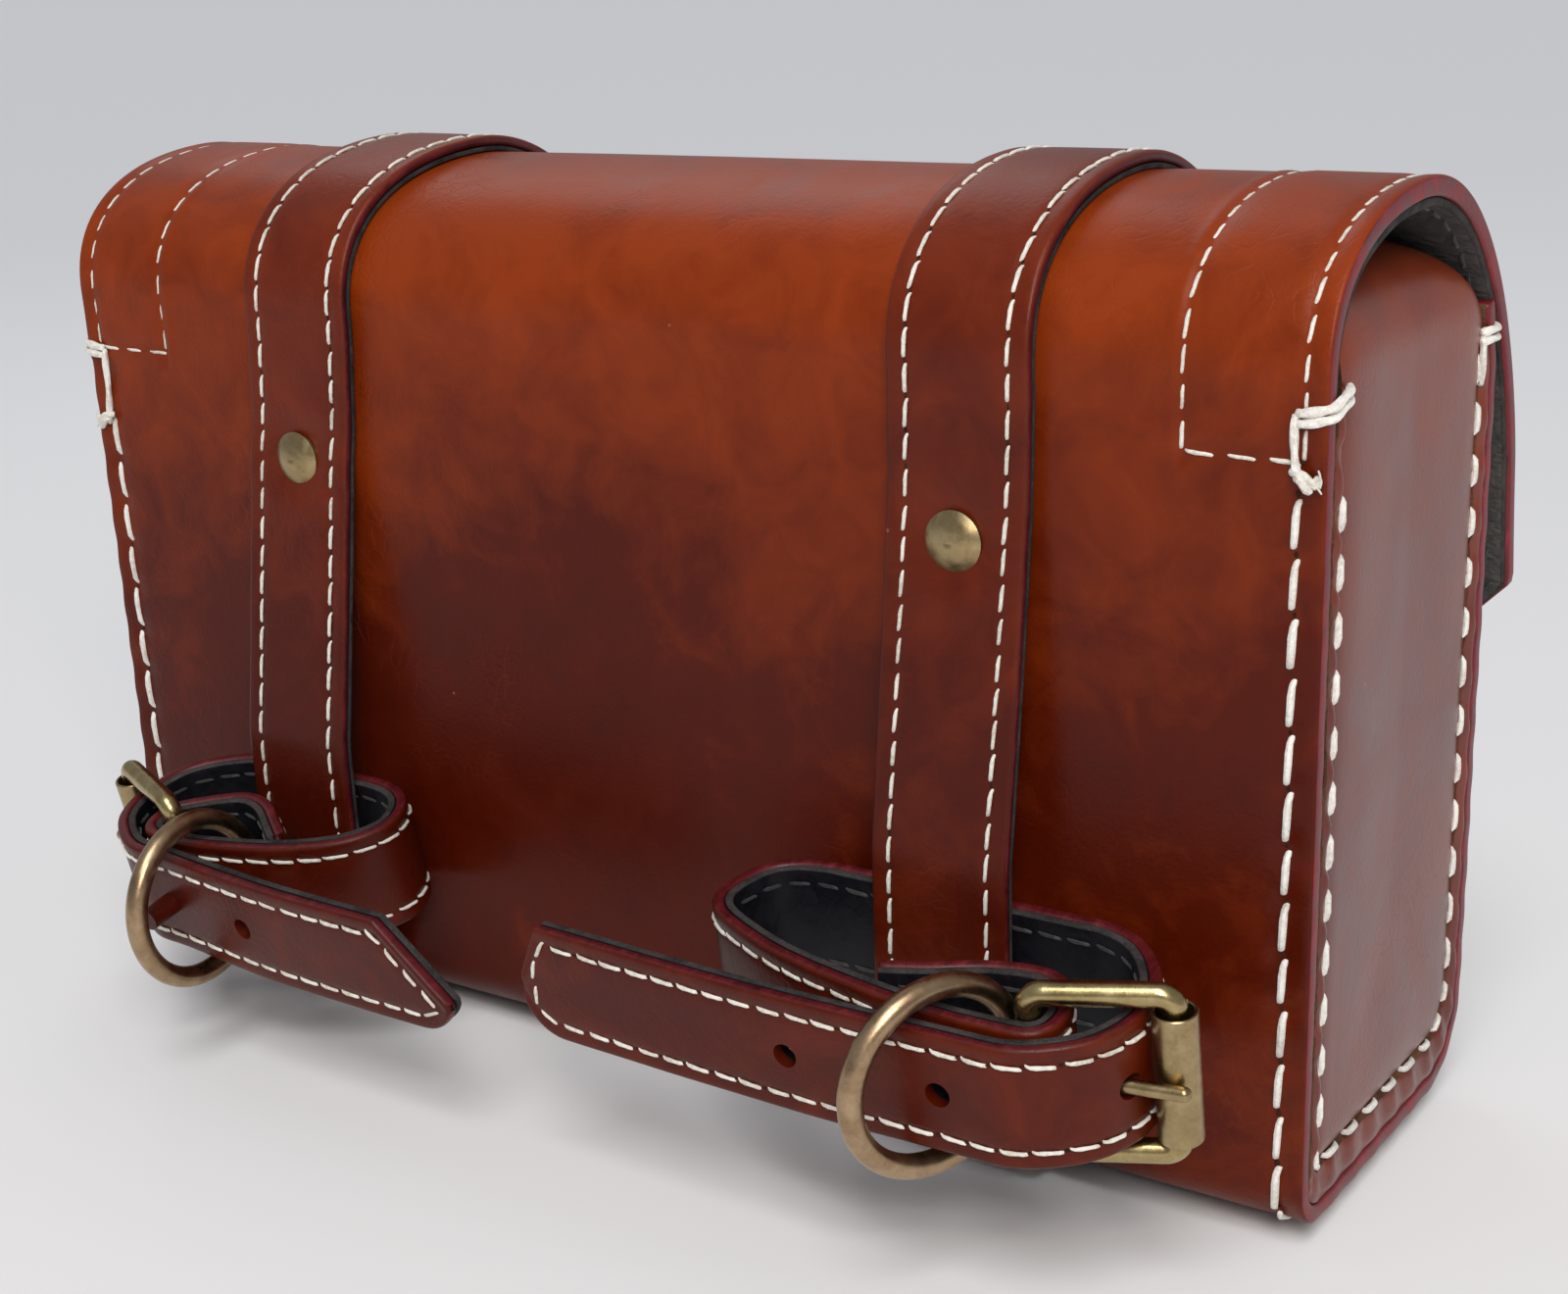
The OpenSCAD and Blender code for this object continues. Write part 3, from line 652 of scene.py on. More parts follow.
# The top-light numbers below paint light from above into these leathers: lighter towards the top
HIDE = leather_look("cognac_hide", (0.040, 0.0028, 0.0004), (0.078, 0.0062, 0.0006),
                    (0.25, 0.033, 0.003), painted_top_light=0.2, gloss=0.16, coat=0.03)
STRAP_HIDE = leather_look("strap_hide", (0.036, 0.0026, 0.0006), (0.070, 0.0058, 0.0009),
                          (0.19, 0.023, 0.003), crease=0.6, painted_top_light=0.12, gloss=0.2, coat=0.04)
GUSSET_HIDE = leather_look("gusset_hide", (0.055, 0.005, 0.0016), (0.12, 0.0115, 0.003),
                           (0.25, 0.036, 0.006), rough=(0.3, 0.4), crease=0.4, painted_top_light=0.2, gloss=0.5,
                           coat=0.32, coat_rough=0.3)
PAINT = edge_look("edge_paint", (0.08, 0.0045, 0.0065), (0.18, 0.009, 0.015), (0.30, 0.03, 0.036))
STRAP_PAINT = edge_look("strap_edge_paint", (0.045, 0.003, 0.004), (0.095, 0.006, 0.009),
                        (0.17, 0.018, 0.022))
SUEDE = fibre_look("raw_suede", (0.035, 0.014, 0.008), (0.17, 0.075, 0.035))
FLESH = fibre_look("flesh_side", (0.07, 0.03, 0.016), (0.16, 0.075, 0.04), 600)
LINING = lining_look()
LINING_EDGE = fibre_look("lining_edge", (0.012, 0.011, 0.013), (0.075, 0.065, 0.062), 1200)
STRIP_LOOK = strip_look()
THREAD = thread_look("white_thread", (0.42, 0.36, 0.28), (0.80, 0.77, 0.70))
THICK_THREAD = thread_look("waxed_thread", (0.50, 0.45, 0.38), (0.86, 0.84, 0.79))
DIM_THREAD = thread_look("lining_thread", (0.005, 0.005, 0.006), (0.03, 0.029, 0.031))
# Needle holes: raw fibre colour, darkened near to black as painted shade inside the holes
HOLE_SHADE = fibre_look("needle_hole", (0.006, 0.003, 0.002), (0.09, 0.025, 0.009), 1500)
BRASS = brass_look("antique_brass", (0.24, 0.165, 0.075), (0.37, 0.275, 0.14), (0.50, 0.39, 0.22))
RING_BRASS = brass_look("bronzed_brass", (0.25, 0.155, 0.085), (0.38, 0.26, 0.155), (0.52, 0.38, 0.24))
WIRE_BRASS = brass_look("wire_brass", (0.27, 0.19, 0.075), (0.40, 0.31, 0.145), (0.54, 0.44, 0.24),
                        (0.2, 0.32))

ALL_HIDE = [HIDE, PAINT, FLESH]


def bend(obj):
    """Bakes the piece's transform into its mesh."""
    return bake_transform(obj)


# ---- Wrap and flap ----------------------------------------------------------
STITCH_X = 125.5  # the hand stitching, and its pitch
PITCH = 9.0
LINE_IN, LINE_OUT = 107.6, 126.5  # the two machine seams of each inner strip
AWL_HOLE_X = 115.7


def hand_marks(s0, s1):
    """Lengths of the awl holes along an edge."""
    n = int(round((s1 - s0) / PITCH))
    return s0 + np.arange(n + 1) * (s1 - s0) / n


S_HAND_FRONT = WRAP.find(z=131, end=60)
S_HAND_BACK = WRAP.find(z=119.5, start=S_BACK, end=S_FOLD + 2)
HAND = hand_marks(S_HAND_FRONT, S_HAND_BACK)
S_STRIP = WRAP.find(z=122.5, start=S_BACK, end=S_FOLD + 2)
S_FLAP_END = WRAP.length


def awl(s):
    """Distance to the nearest awl hole, and whether the edge is sewn there."""
    return np.min(np.abs(s[:, None] - HAND[None, :]), axis=1), (s < HAND[-1] + 6) & (s > HAND[0] - 6)


def half_width(s):
    """Half the flap's width: its lower corners are cut."""
    z = WRAP.at(s)[..., 1]
    if s < S_CROWN:
        return BODY_W / 2
    return BODY_W / 2 - max(0.0, CORNER_CUT - (z - FLAP_Z))


def wrap_dent(s, t, lo, hi):
    """Relief of the wrap's face."""
    x = np.abs(t)
    edge = hi - x
    out = 0.3 * wave(t, s, size=70.0, seed=3.1) + 0.07 * wave(t, s, size=24.0, seed=8.2)
    # Awl holes pull the leather in along the sewn edges
    near, sewn = awl(s)
    groove = gauss(x - STITCH_X, 1.7) * sewn
    out = out - groove * (0.22 + 0.45 * gauss(near, 1.5))
    out = out + 0.08 * gauss(x - 129, 1.8) * sewn * np.cos(near * 2 * math.pi / PITCH + math.pi)
    # The strips sewn under the flap's sides
    flap = s > S_STRIP - 1
    ramp = 1 / (1 + np.exp(-(x - 105.2) * 3))
    out = out + flap * (0.3 * ramp)
    out = out - flap * 0.42 * gauss(x - LINE_IN, 0.8)
    out = out - flap * 0.42 * gauss(edge - (BODY_W / 2 - LINE_OUT), 0.8)
    out = out - 0.42 * gauss(s - (S_STRIP + 1.6), 0.8) * ((x > LINE_IN - 0.5) & (x < LINE_OUT + 0.5))
    # The long straps' edges press into it
    out = out - 0.22 * gauss(np.abs(x - STRAP_X) - STRAP_W / 2, 1.6) * (s > S_BOTTOM + 30)
    return out


def wrap_wave(s, side):
    """How far the wrap's edge stands out or in along its length."""
    near, sewn = awl(s)
    pucker = sewn * 0.05 * np.cos(near * 2 * math.pi / PITCH + math.pi)
    return pucker + 0.12 * wave(s, size=26.0, seed=5.0 + side)


cols_half = spaced((0, 56, 4), (56, 61, 1.2), (61, 81, 3.4), (81, 86, 1.2), (86, 103, 3.4),
                   (103, 106.4, 0.7), (106.4, 109, 0.43), (109, 122, 2.2), (122, 129.3, 0.6))
WRAP_COLS = np.r_[-cols_half[::-1], cols_half[1:]]
WRAP_COLS[0], WRAP_COLS[-1] = -BODY_W / 2, BODY_W / 2

b = Build()
rows = np.r_[FINE, spaced((FINE_END, S_BOTTOM, 1.5))]
strip(b, WRAP, rows, WRAP_COLS, -LEATHER_T, 0.0, bag_plane, dent=wrap_dent, under_dent=0.3,
      round_ends=(True, False), edge_wave=wrap_wave, round_r=0.6)
wrap_front = b.make("wrap_front_and_base", ALL_HIDE)
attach(wrap_front, "bag")

b = Build()
rows = np.r_[spaced((S_BOTTOM, S_FLAP_END - FINE_END, 1.5)), [S_FLAP_END - f for f in reversed(FINE)]]
strip(b, WRAP, rows, WRAP_COLS, -LEATHER_T, 0.0, bag_plane, dent=wrap_dent, under_dent=0.3,
      low_edge=lambda s: -half_width(s), high_edge=half_width, round_ends=(False, True),
      edge_wave=wrap_wave, round_r=0.6)
wrap_back = b.make("wrap_back_and_flap", ALL_HIDE)
bend(wrap_back)
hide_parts("body_wrap", "flap_panel")

# Grey strips under the flap's sides
for side, name in BOTH:
    b = Build()
    cols = np.linspace(BODY_W / 2 - STRIP_W, BODY_W / 2 - 0.5, 16)
    cols = cols if side > 0 else -cols[::-1]
    top_rows = end_rows(S_FLAP_END - 1.0 - S_STRIP, 2.0) + S_STRIP

    def inner(s):
        return side * min(BODY_W / 2 - STRIP_W, half_width(s) - 2.0)

    def outer(s):
        return side * (half_width(s) - 0.5)

    strip(b, WRAP, top_rows, cols, -LEATHER_T - STRIP_T, -LEATHER_T - 0.02, bag_plane, tags=(0, 1, 0),
          low_edge=inner if side > 0 else outer, high_edge=outer if side > 0 else inner, round_r=0.4,
          dent=lambda s, t, lo, hi: 0.12 * wave(t, s, size=6.0, seed=1.0), under_dent=1.6)
    obj = b.make("side_strip_" + name, [STRIP_LOOK, LINING_EDGE])
    bend(obj)
    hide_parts("flap_strip_" + name)

# Machine stitching round the strips
for side, name in BOTH:
    b = Build()
    for flip, off, mat in ((1, -0.33, 0), (-1, -LEATHER_T - STRIP_T + 0.05, 2)):
        s = np.arange(S_STRIP + 1.6, S_FLAP_END - 3, 1.0)
        hw = np.array([half_width(x) for x in s])
        keep = hw > LINE_IN + 4
        p, n = surface_line(WRAP, s[keep], side * LINE_IN, off, bag_plane, flip)
        seam(b, b if flip > 0 else None, p, n, mat=mat)
        p, n = surface_line(WRAP, s, side * (hw - (BODY_W / 2 - LINE_OUT)), off, bag_plane, flip)
        seam(b, b if flip > 0 else None, p, n, mat=mat)
        x = np.linspace(side * LINE_IN, side * (LINE_OUT - 0.4), 20)
        p, n = surface_line(WRAP, np.full(20, S_STRIP + 1.6), x, off, bag_plane, flip)
        seam(b, b if flip > 0 else None, p, n, mat=mat)
    obj = b.make("strip_stitching_" + name, [THREAD, HOLE_SHADE, DIM_THREAD])
    bend(obj)


# ---- Gussets ----------------------------------------------------------------
# How far inside the wrap's outer face the gusset's fold runs: at the back, base and front
FOLD_BACK, FOLD_BASE, FOLD_FRONT = 7.9, 10.2, 6.0
BASE_R, HEEL_R = 9.5, 1.6
TOP_Z = 131.0
FACE_X = 128.75  # the gusset's outer face, from the middle of the bag
EDGE_MAX_X, EDGE_BACK_X = 130.4, 126.4  # limits of the edge's relief, and its inner side
EAR_GAP = 2.4  # between the flap's strip and the gusset's free top
Y_BACK, Y_FRONT = -BODY_D / 2 + FOLD_BACK, BODY_D / 2 - FOLD_FRONT
INNER = Path(
    [(Y_FRONT - 2.0, TOP_Z), (Y_FRONT, 124), (Y_FRONT, 118)]
    + arc((Y_FRONT - BASE_R, FOLD_BASE + BASE_R), BASE_R, 0, -90, 12)
    + arc((Y_BACK + HEEL_R, FOLD_BASE + HEEL_R), HEEL_R, -90, -180, 6)
    + [(Y_BACK, TOP_Z)]
)
S_G0 = WRAP.find(z=TOP_Z, end=60)
S_G1 = WRAP.find(z=TOP_Z, start=S_BACK, end=S_FOLD + 12)
S_HEEL = INNER.find(y=Y_BACK + HEEL_R, start=130)
# Lengths along the wrap, and the lengths along the fold that they belong to
MATCH = (
    [S_G0, WRAP.find(z=FRONT_R, start=60, end=140), WRAP.find(y=BODY_D / 2 - FRONT_R, start=100, end=160),
     WRAP.find(y=-BODY_D / 2 + BACK_R, start=150, end=S_BACK),
     WRAP.find(z=BACK_R, start=S_BACK - 40, end=S_BACK + 20), S_G1],
    [0, INNER.find(z=FOLD_BASE + BASE_R, end=140), INNER.find(y=Y_FRONT - BASE_R, start=90, end=150),
     S_HEEL, INNER.find(z=FOLD_BASE + HEEL_R, start=S_HEEL), INNER.length],
)
S_TURN = MATCH[0][4]  # where the base edge becomes the back edge
# The edge's face, from the wrap (0) to the fold (1): its height past the middle of the bag,
# how rough it is, how much it puckers, and its material, along the back and along the base
BACK_EDGE = (
    (0.0, 129.3, 0.3, 0, 1), (0.06, 129.85, 0.35, 0, 1), (0.2, 129.75, 0.35, 0, 1), (0.3, 129.2, 0.3, 0.1, 1),
    (0.38, 129.1, 0.1, 0.6, 0), (0.48, 129.6, 0, 1.0, 0), (0.6, 129.75, 0, 1.0, 0), (0.72, 129.6, 0, 0.9, 0),
    (0.84, 129.35, 0, 0.6, 0), (0.93, 129.1, 0, 0.2, 0), (1.0, 128.9, 0, 0, 0), (1.06, 128.2, 0, 0, 0),
)
BASE_EDGE = (
    (0.0, 129.2, 0, 0.2, 0), (0.06, 129.8, 0, 0.3, 0), (0.2, 129.9, 0, 0.6, 0), (0.34, 129.75, 0, 0.9, 0),
    (0.5, 129.5, 0, 1.0, 0), (0.62, 129.3, 0.1, 0.9, 0), (0.7, 129.0, 0.3, 0.5, 1),
    (0.77, 128.5, 0.45, 0.2, 1), (0.86, 128.3, 0.45, 0, 1), (0.93, 128.5, 0.3, 0, 1), (1.0, 128.8, 0.1, 0, 0), (1.06, 128.2, 0, 0, 0),
)


def on_back(s):
    """0 along the base, 1 along the back."""
    return ease(s, S_TURN - 3, S_TURN + 4)


def gusset_edge(side, name):
    """The edge of the gusset, sewn inside the wrap: raw cut edge, puckered face and the fold."""
    b = Build()
    rows = spaced((S_G0, S_G1, 0.75))
    outer = WRAP.at(rows, -LEATHER_T - 0.02)
    inner = INNER.at(np.interp(rows, *MATCH))
    back = on_back(rows)
    near, _ = awl(rows)
    pucker = np.cos(near * 2 * math.pi / PITCH)  # 1 at a hole, -1 between two
    crease = wave(rows, size=2.2, seed=12.0 + side)
    rough = wave(rows, size=1.6, seed=2.0 + side)
    slow = wave(rows, size=17.0, seed=4.0 + side)
    columns, kinds = [], []
    for (f0, x0, r0, p0, m0), (f1, x1, r1, p1, m1) in zip(BASE_EDGE, BACK_EDGE):
        f, x = f0 + (f1 - f0) * back, x0 + (x1 - x0) * back
        r, puff = r0 + (r1 - r0) * back, p0 + (p1 - p0) * back
        gather = pucker * (2 * back - 1) * 0.8 + 0.45 * crease + 0.4 * slow
        x = x + r * (rough + 0.5 * slow) + puff * 0.42 * gather
        f = f + 0.03 * r * slow + 0.04 * puff * pucker * back
        p = outer + (inner - outer) * f[:, None]
        columns.append(bag_plane(p, side * np.minimum(x, EDGE_MAX_X)))
        kinds.append((m0, m1))
    for f in (1.06, 0.0):
        columns.append(bag_plane(outer + (inner - outer) * f, np.full(len(rows), side * EDGE_BACK_X)))
        kinds.append((2, 2))
    v = np.stack(columns, axis=1)
    k = len(columns)
    mats = [kinds[c][1 if back[i] > 0.5 else 0] for i in range(len(rows) - 1) for c in range(k)]
    b.add(v.reshape(-1, 3), grid_faces(len(rows), k) + caps(len(rows), k), mats + [1, 1])
    return b.make("gusset_edge_" + name, [GUSSET_HIDE, SUEDE, FLESH], sharp=60)


# The hollow under the flap, which the gusset's free top fills
roof = np.linspace(S_FOLD - 4, WRAP.find(z=126, start=S_CROWN + 40), 160)
ROOF = WRAP.at(roof, -LEATHER_T - STRIP_T - EAR_GAP)
ROOF_TOP = int(np.argmax(ROOF[:, 1]))


def gusset_limits(z):
    """Back and front ends of the gusset's face at a height."""
    back, front, base = Y_BACK, Y_FRONT, FOLD_BASE
    if z < base + BASE_R:
        front -= BASE_R - math.sqrt(max(0.0, BASE_R**2 - (base + BASE_R - z) ** 2))
    if z < base + HEEL_R:
        back += HEEL_R - math.sqrt(max(0.0, HEEL_R**2 - (base + HEEL_R - z) ** 2))
    if z > 122:
        under = min(z, ROOF[ROOF_TOP, 1] - 0.5)
        roof_back = np.interp(under, ROOF[: ROOF_TOP + 1, 1], ROOF[: ROOF_TOP + 1, 0])
        roof_front = np.interp(under, ROOF[ROOF_TOP:, 1][::-1], ROOF[ROOF_TOP:, 0][::-1])
        back += (roof_back + 0.4 - back) * float(ease(z, 129, 138))
        front += (min(roof_front - 0.3, 34.5) - front) * float(ease(z, 129, 137))
    return back, front


def gusset_face(side, name):
    """The gusset's face: nearly flush with the edges, softly pillowed, its free top turned inward."""
    b = Build()
    turn_z, turn_r, turn_a = 134.5, 13.5, 1.2
    levels = spaced((0, 2, 0.4), (2, 9, 0.9), (9, 118, 2.4), (118, 145.5, 1.2))
    cols = 44
    u = 0.5 - 0.5 * np.cos(np.linspace(0, math.pi, cols))
    u = 0.4 * u + 0.6 * np.linspace(0, 1, cols)
    face, inside_face = [], []
    for v in levels:
        z = FOLD_BASE + v
        a = max(0.0, z - turn_z) / turn_r
        flat = max(0.0, a - turn_a) * turn_r
        a = min(a, turn_a)
        zz = min(z, turn_z) + turn_r * math.sin(a) + flat * math.cos(a)
        y0, y1 = gusset_limits(zz)
        y = y0 + u * (y1 - y0)
        turned = -(turn_r * (1 - math.cos(a)) + flat * math.sin(a)) * (1 - 0.85 * ease(y, 20, 35))
        rim = np.minimum(np.minimum(y - y0, y1 - y), v)
        puff = 0.8 * (1 - np.exp(-rim / 2.0)) - 0.9 * (1 - gauss(np.minimum(rim, 30) - 4, 15.0))
        soft = 0.55 * wave(y, zz * 0.6, size=38.0, seed=2.5 + side) + 0.12 * wave(y, zz, size=11.0,
            seed=7.0 + side)
        x = FACE_X + puff + soft * np.minimum(1.0, rim / 6.0) + turned
        face.append(np.stack([side * x, y, np.full(cols, zz)], axis=1))
        inside_face.append(np.stack([side * (x - 1.9), y, np.full(cols, zz - 0.9 * math.sin(a))], axis=1))
    n = len(levels)
    k = n * cols
    outside = grid_faces(n, cols, wrap_cols=False)
    faces = outside + [tuple(i + k for i in f)[::-1] for f in outside]
    mats = [0] * len(outside) + [2] * len(outside)
    rim_loop = (
        list(range(cols)) + [r * cols + cols - 1 for r in range(1, n)]
        + [(n - 1) * cols + i for i in range(cols - 2, -1, -1)] + [r * cols for r in range(n - 2, 0, -1)]
    )
    for a, c in zip(rim_loop, rim_loop[1:] + rim_loop[:1]):
        faces.append((a, c, c + k, a + k))
        mats.append(1)
    b.add(np.concatenate(face + inside_face), faces, mats)
    return b.make("gusset_face_" + name, [GUSSET_HIDE, SUEDE, FLESH], sharp=50)


for side, name in BOTH:
    for obj in (gusset_edge(side, name), gusset_face(side, name)):
        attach(obj, "bag")
    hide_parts("gusset_" + name)


# ---- Hand stitching -----------------------------------------------------------
def thread_piece(builder, points, r, sides=8, flat=1.0):
    """A short length of thread through points, tapered at its ends."""
    p = np.array(smooth_curve(points, 5))
    d = np.gradient(p, axis=0)
    d /= np.linalg.norm(d, axis=1)[:, None]
    ref = np.array((0.2, -0.9, 0.35))
    a = np.linspace(0, 2 * math.pi, sides, endpoint=False)
    rings = []
    for i in range(len(p)):
        side = unit(np.cross(d[i], ref))
        up = np.cross(side, d[i])
        end = min(i, len(p) - 1 - i) / 2.0
        rr = r * min(1.0, 0.6 + 0.4 * end) * (1 + 0.12 * np.cos(2 * a + i * 0.8))
        rings.append(p[i] + np.outer(rr * np.cos(a), side) + np.outer(rr * np.sin(a) * flat, up))
    builder.add(np.concatenate(rings), grid_faces(len(p), sides) + caps(len(p), sides), 0)


# Heights of the bars over the edge and of the knot under them
BARS = {"right": (132.8, 132.8, 122.2), "left": (125.6, 131.0, 110.0)}

for side, name in BOTH:
    b, fixed = Build(), Build()
    z_bar, z_front, z_knot = BARS[name]
    for i in range(len(HAND) - 1):
        mid = (HAND[i] + HAND[i + 1]) / 2
        step = HAND[i + 1] - HAND[i]
        p, n = surface_line(WRAP, np.array([mid - 0.5, mid, mid + 0.5]), side * STITCH_X, -0.42, bag_plane)
        d = unit(p[2] - p[0])
        shown = mid < S_BACK or p[1][2] < z_knot - 2.5
        x = p[1] + np.array((side * rng.uniform(-0.2, 0.2), 0, 0))
        on_wrap = b if mid > S_BACK else fixed
        if shown:
            stitch(on_wrap, x, d, n[1], step * rng.uniform(0.85, 0.93), 0.64 * rng.uniform(0.92, 1.08),
                   side * 0.5, 0.5, 0.85, ply=0.09)
            hole = WRAP.at(np.array([HAND[i + 1]]), -0.6)
            needle_hole(on_wrap, bag_plane(hole, np.array([side * STITCH_X]))[0], d, n[1], 0.6, 1)
        # The same thread in the gusset's fold
        at = np.array([mid - 0.5, mid, mid + 0.5])
        share = 0.82 - 0.02 * float(on_back(mid))
        outer, inner = WRAP.at(at, -LEATHER_T), INNER.at(np.interp(at, *MATCH))
        level = FACE_X + 0.75 * float(on_back(mid))
        q = bag_plane(outer + (inner - outer) * share, np.full(3, side * level))
        inward = bag_plane((inner - outer)[1:2], np.zeros(1))[0]
        m = unit(np.array((side * 1.0, 0, 0)) - 0.25 * inward / np.linalg.norm(inward))
        d = q[2] - q[0]
        long = min(np.linalg.norm(d) * step, 9.0) * rng.uniform(0.62, 0.72)
        d /= np.linalg.norm(d)
        stitch(fixed, q[1], d, m, long, 0.68 * rng.uniform(0.92, 1.06), 0.4, 0.35, 0.85, ply=0.09)

    def thread(builder, r, *points, **shape):
        thread_piece(builder, [(side * x, y, z) for x, y, z in points], r, **shape)

    # Bars over the edges at both ends of the seam, with their knots and loose ends
    for dz in (0.0, -1.5):
        z = z_bar + dz
        thread(fixed, 0.72, (125.2, -36.3, z - 1.4), (126.5, -36.75, z - 1.2), (129.2, -36.7, z - 0.7),
               (130.5, -35.6, z - 0.3), (130.7, -32.5, z + 0.5), (130.4, -29.6, z + 1.1),
               (129.4, -27.6, z + 1.3), flat=0.75)
        z = z_front + dz
        thread(fixed, 0.72, (124.6, 34.2, z), (127.2, 34.9, z), (129.8, 34.7, z), (130.5, 33.2, z),
               (130.5, 31.0, z), (129.5, 28.8, z - 0.2), flat=0.8)
    run, z = z_bar - z_knot, z_knot
    thread(b, 0.62, (125.3, -36.2, z_bar - 1.6), (125.1, -36.6, z_bar - 0.25 * run),
           (125.2, -36.6, z_bar - 0.6 * run), (125.6, -36.75, z + 1.2), (126.2, -36.4, z - 1.0))
    thread(fixed, 0.7, (124.6, -36.4, z + 0.9), (126.2, -37.2, z + 0.8), (127.6, -37.1, z - 0.1),
           (128.6, -36.7, z - 0.7), (128.9, -36.7, z + 0.6), flat=0.8)
    thread(fixed, 0.7, (125.4, -36.5, z + 0.3), (126.8, -37.4, z - 0.4), (128.0, -37.0, z - 1.9))
    for j in range(5):
        thread(fixed, 0.16, (128.2, -36.9, z - 0.4), (128.9 + 0.1 * j, -37.0, z - 0.9 + 0.3 * j),
               (129.6 - 0.15 * j, -36.9, z - 1.9 + 0.85 * j), sides=5)
    z = z_front
    thread(fixed, 0.62, (129.6, 29.4, z - 0.6), (129.7, 29.6, z - 4), (129.2, 30.6, z - 8),
           (129.0, 31.0, z - 9))
    thread(fixed, 0.62, (125.0, 34.6, z - 1), (125.2, 35.6, z - 4), (125.4, 35.9, z - 7))
    obj = b.make("hand_stitching_back_" + name, [THICK_THREAD, HOLE_SHADE])
    bend(obj)
    rest = fixed.make("hand_stitching_look_" + name, [THICK_THREAD, HOLE_SHADE])
    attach(rest, "bag")
    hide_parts("hand_stitching_" + name)

# An awl hole left in the back, beside the strip's stitching: a lens with the painted shade of the hole
b = Build()
spot = bag_plane(WRAP.at(np.array([S_FOLD]), 0.1), np.array([AWL_HOLE_X]))[0]
needle_hole(b, spot, np.array((0, 0, 1.0)), np.array((0, -1.0, 0)), 0.75, 0)
obj = b.make("awl_hole", [HOLE_SHADE])
bend(obj)


# ---- Long straps ---------------------------------------------------------------
def bulge(strap, z):
    """How far the long strap stands off the back wall, where the mounting strap runs behind it."""
    up = np.clip((RIVET_Z + 6 - z) / (RIVET_Z + 6 - strap.mid_z - MOUNT_W / 2 - 7), 0, 1) ** 1.15
    down = ease(z, BACK_R + 1, strap.mid_z - MOUNT_W / 2 - 1)
    return strap.tunnel * np.minimum(up, down)


def long_path(strap):
    z = np.linspace(BACK_R, FOLD_Z, 70)[1:]
    back = list(zip(-BODY_D / 2 - bulge(strap, z), z))
    start = [(BODY_D / 2, CHAPE_Z - 16.4)]
    return Path(start + front_arc + back_arc + back + flap_points[1:] + [tuple(closure_end)], soften=1.2)


STRAP_COLS = np.array([-12.5, -11.6, -10.6, -9.8, -9.4, -9, -8.6, -8.2, -7.2, -5, -2.5, 0,
                       2.5, 5, 7.2, 8.2, 8.6, 9, 9.4, 9.8, 10.6, 11.6, 12.5])


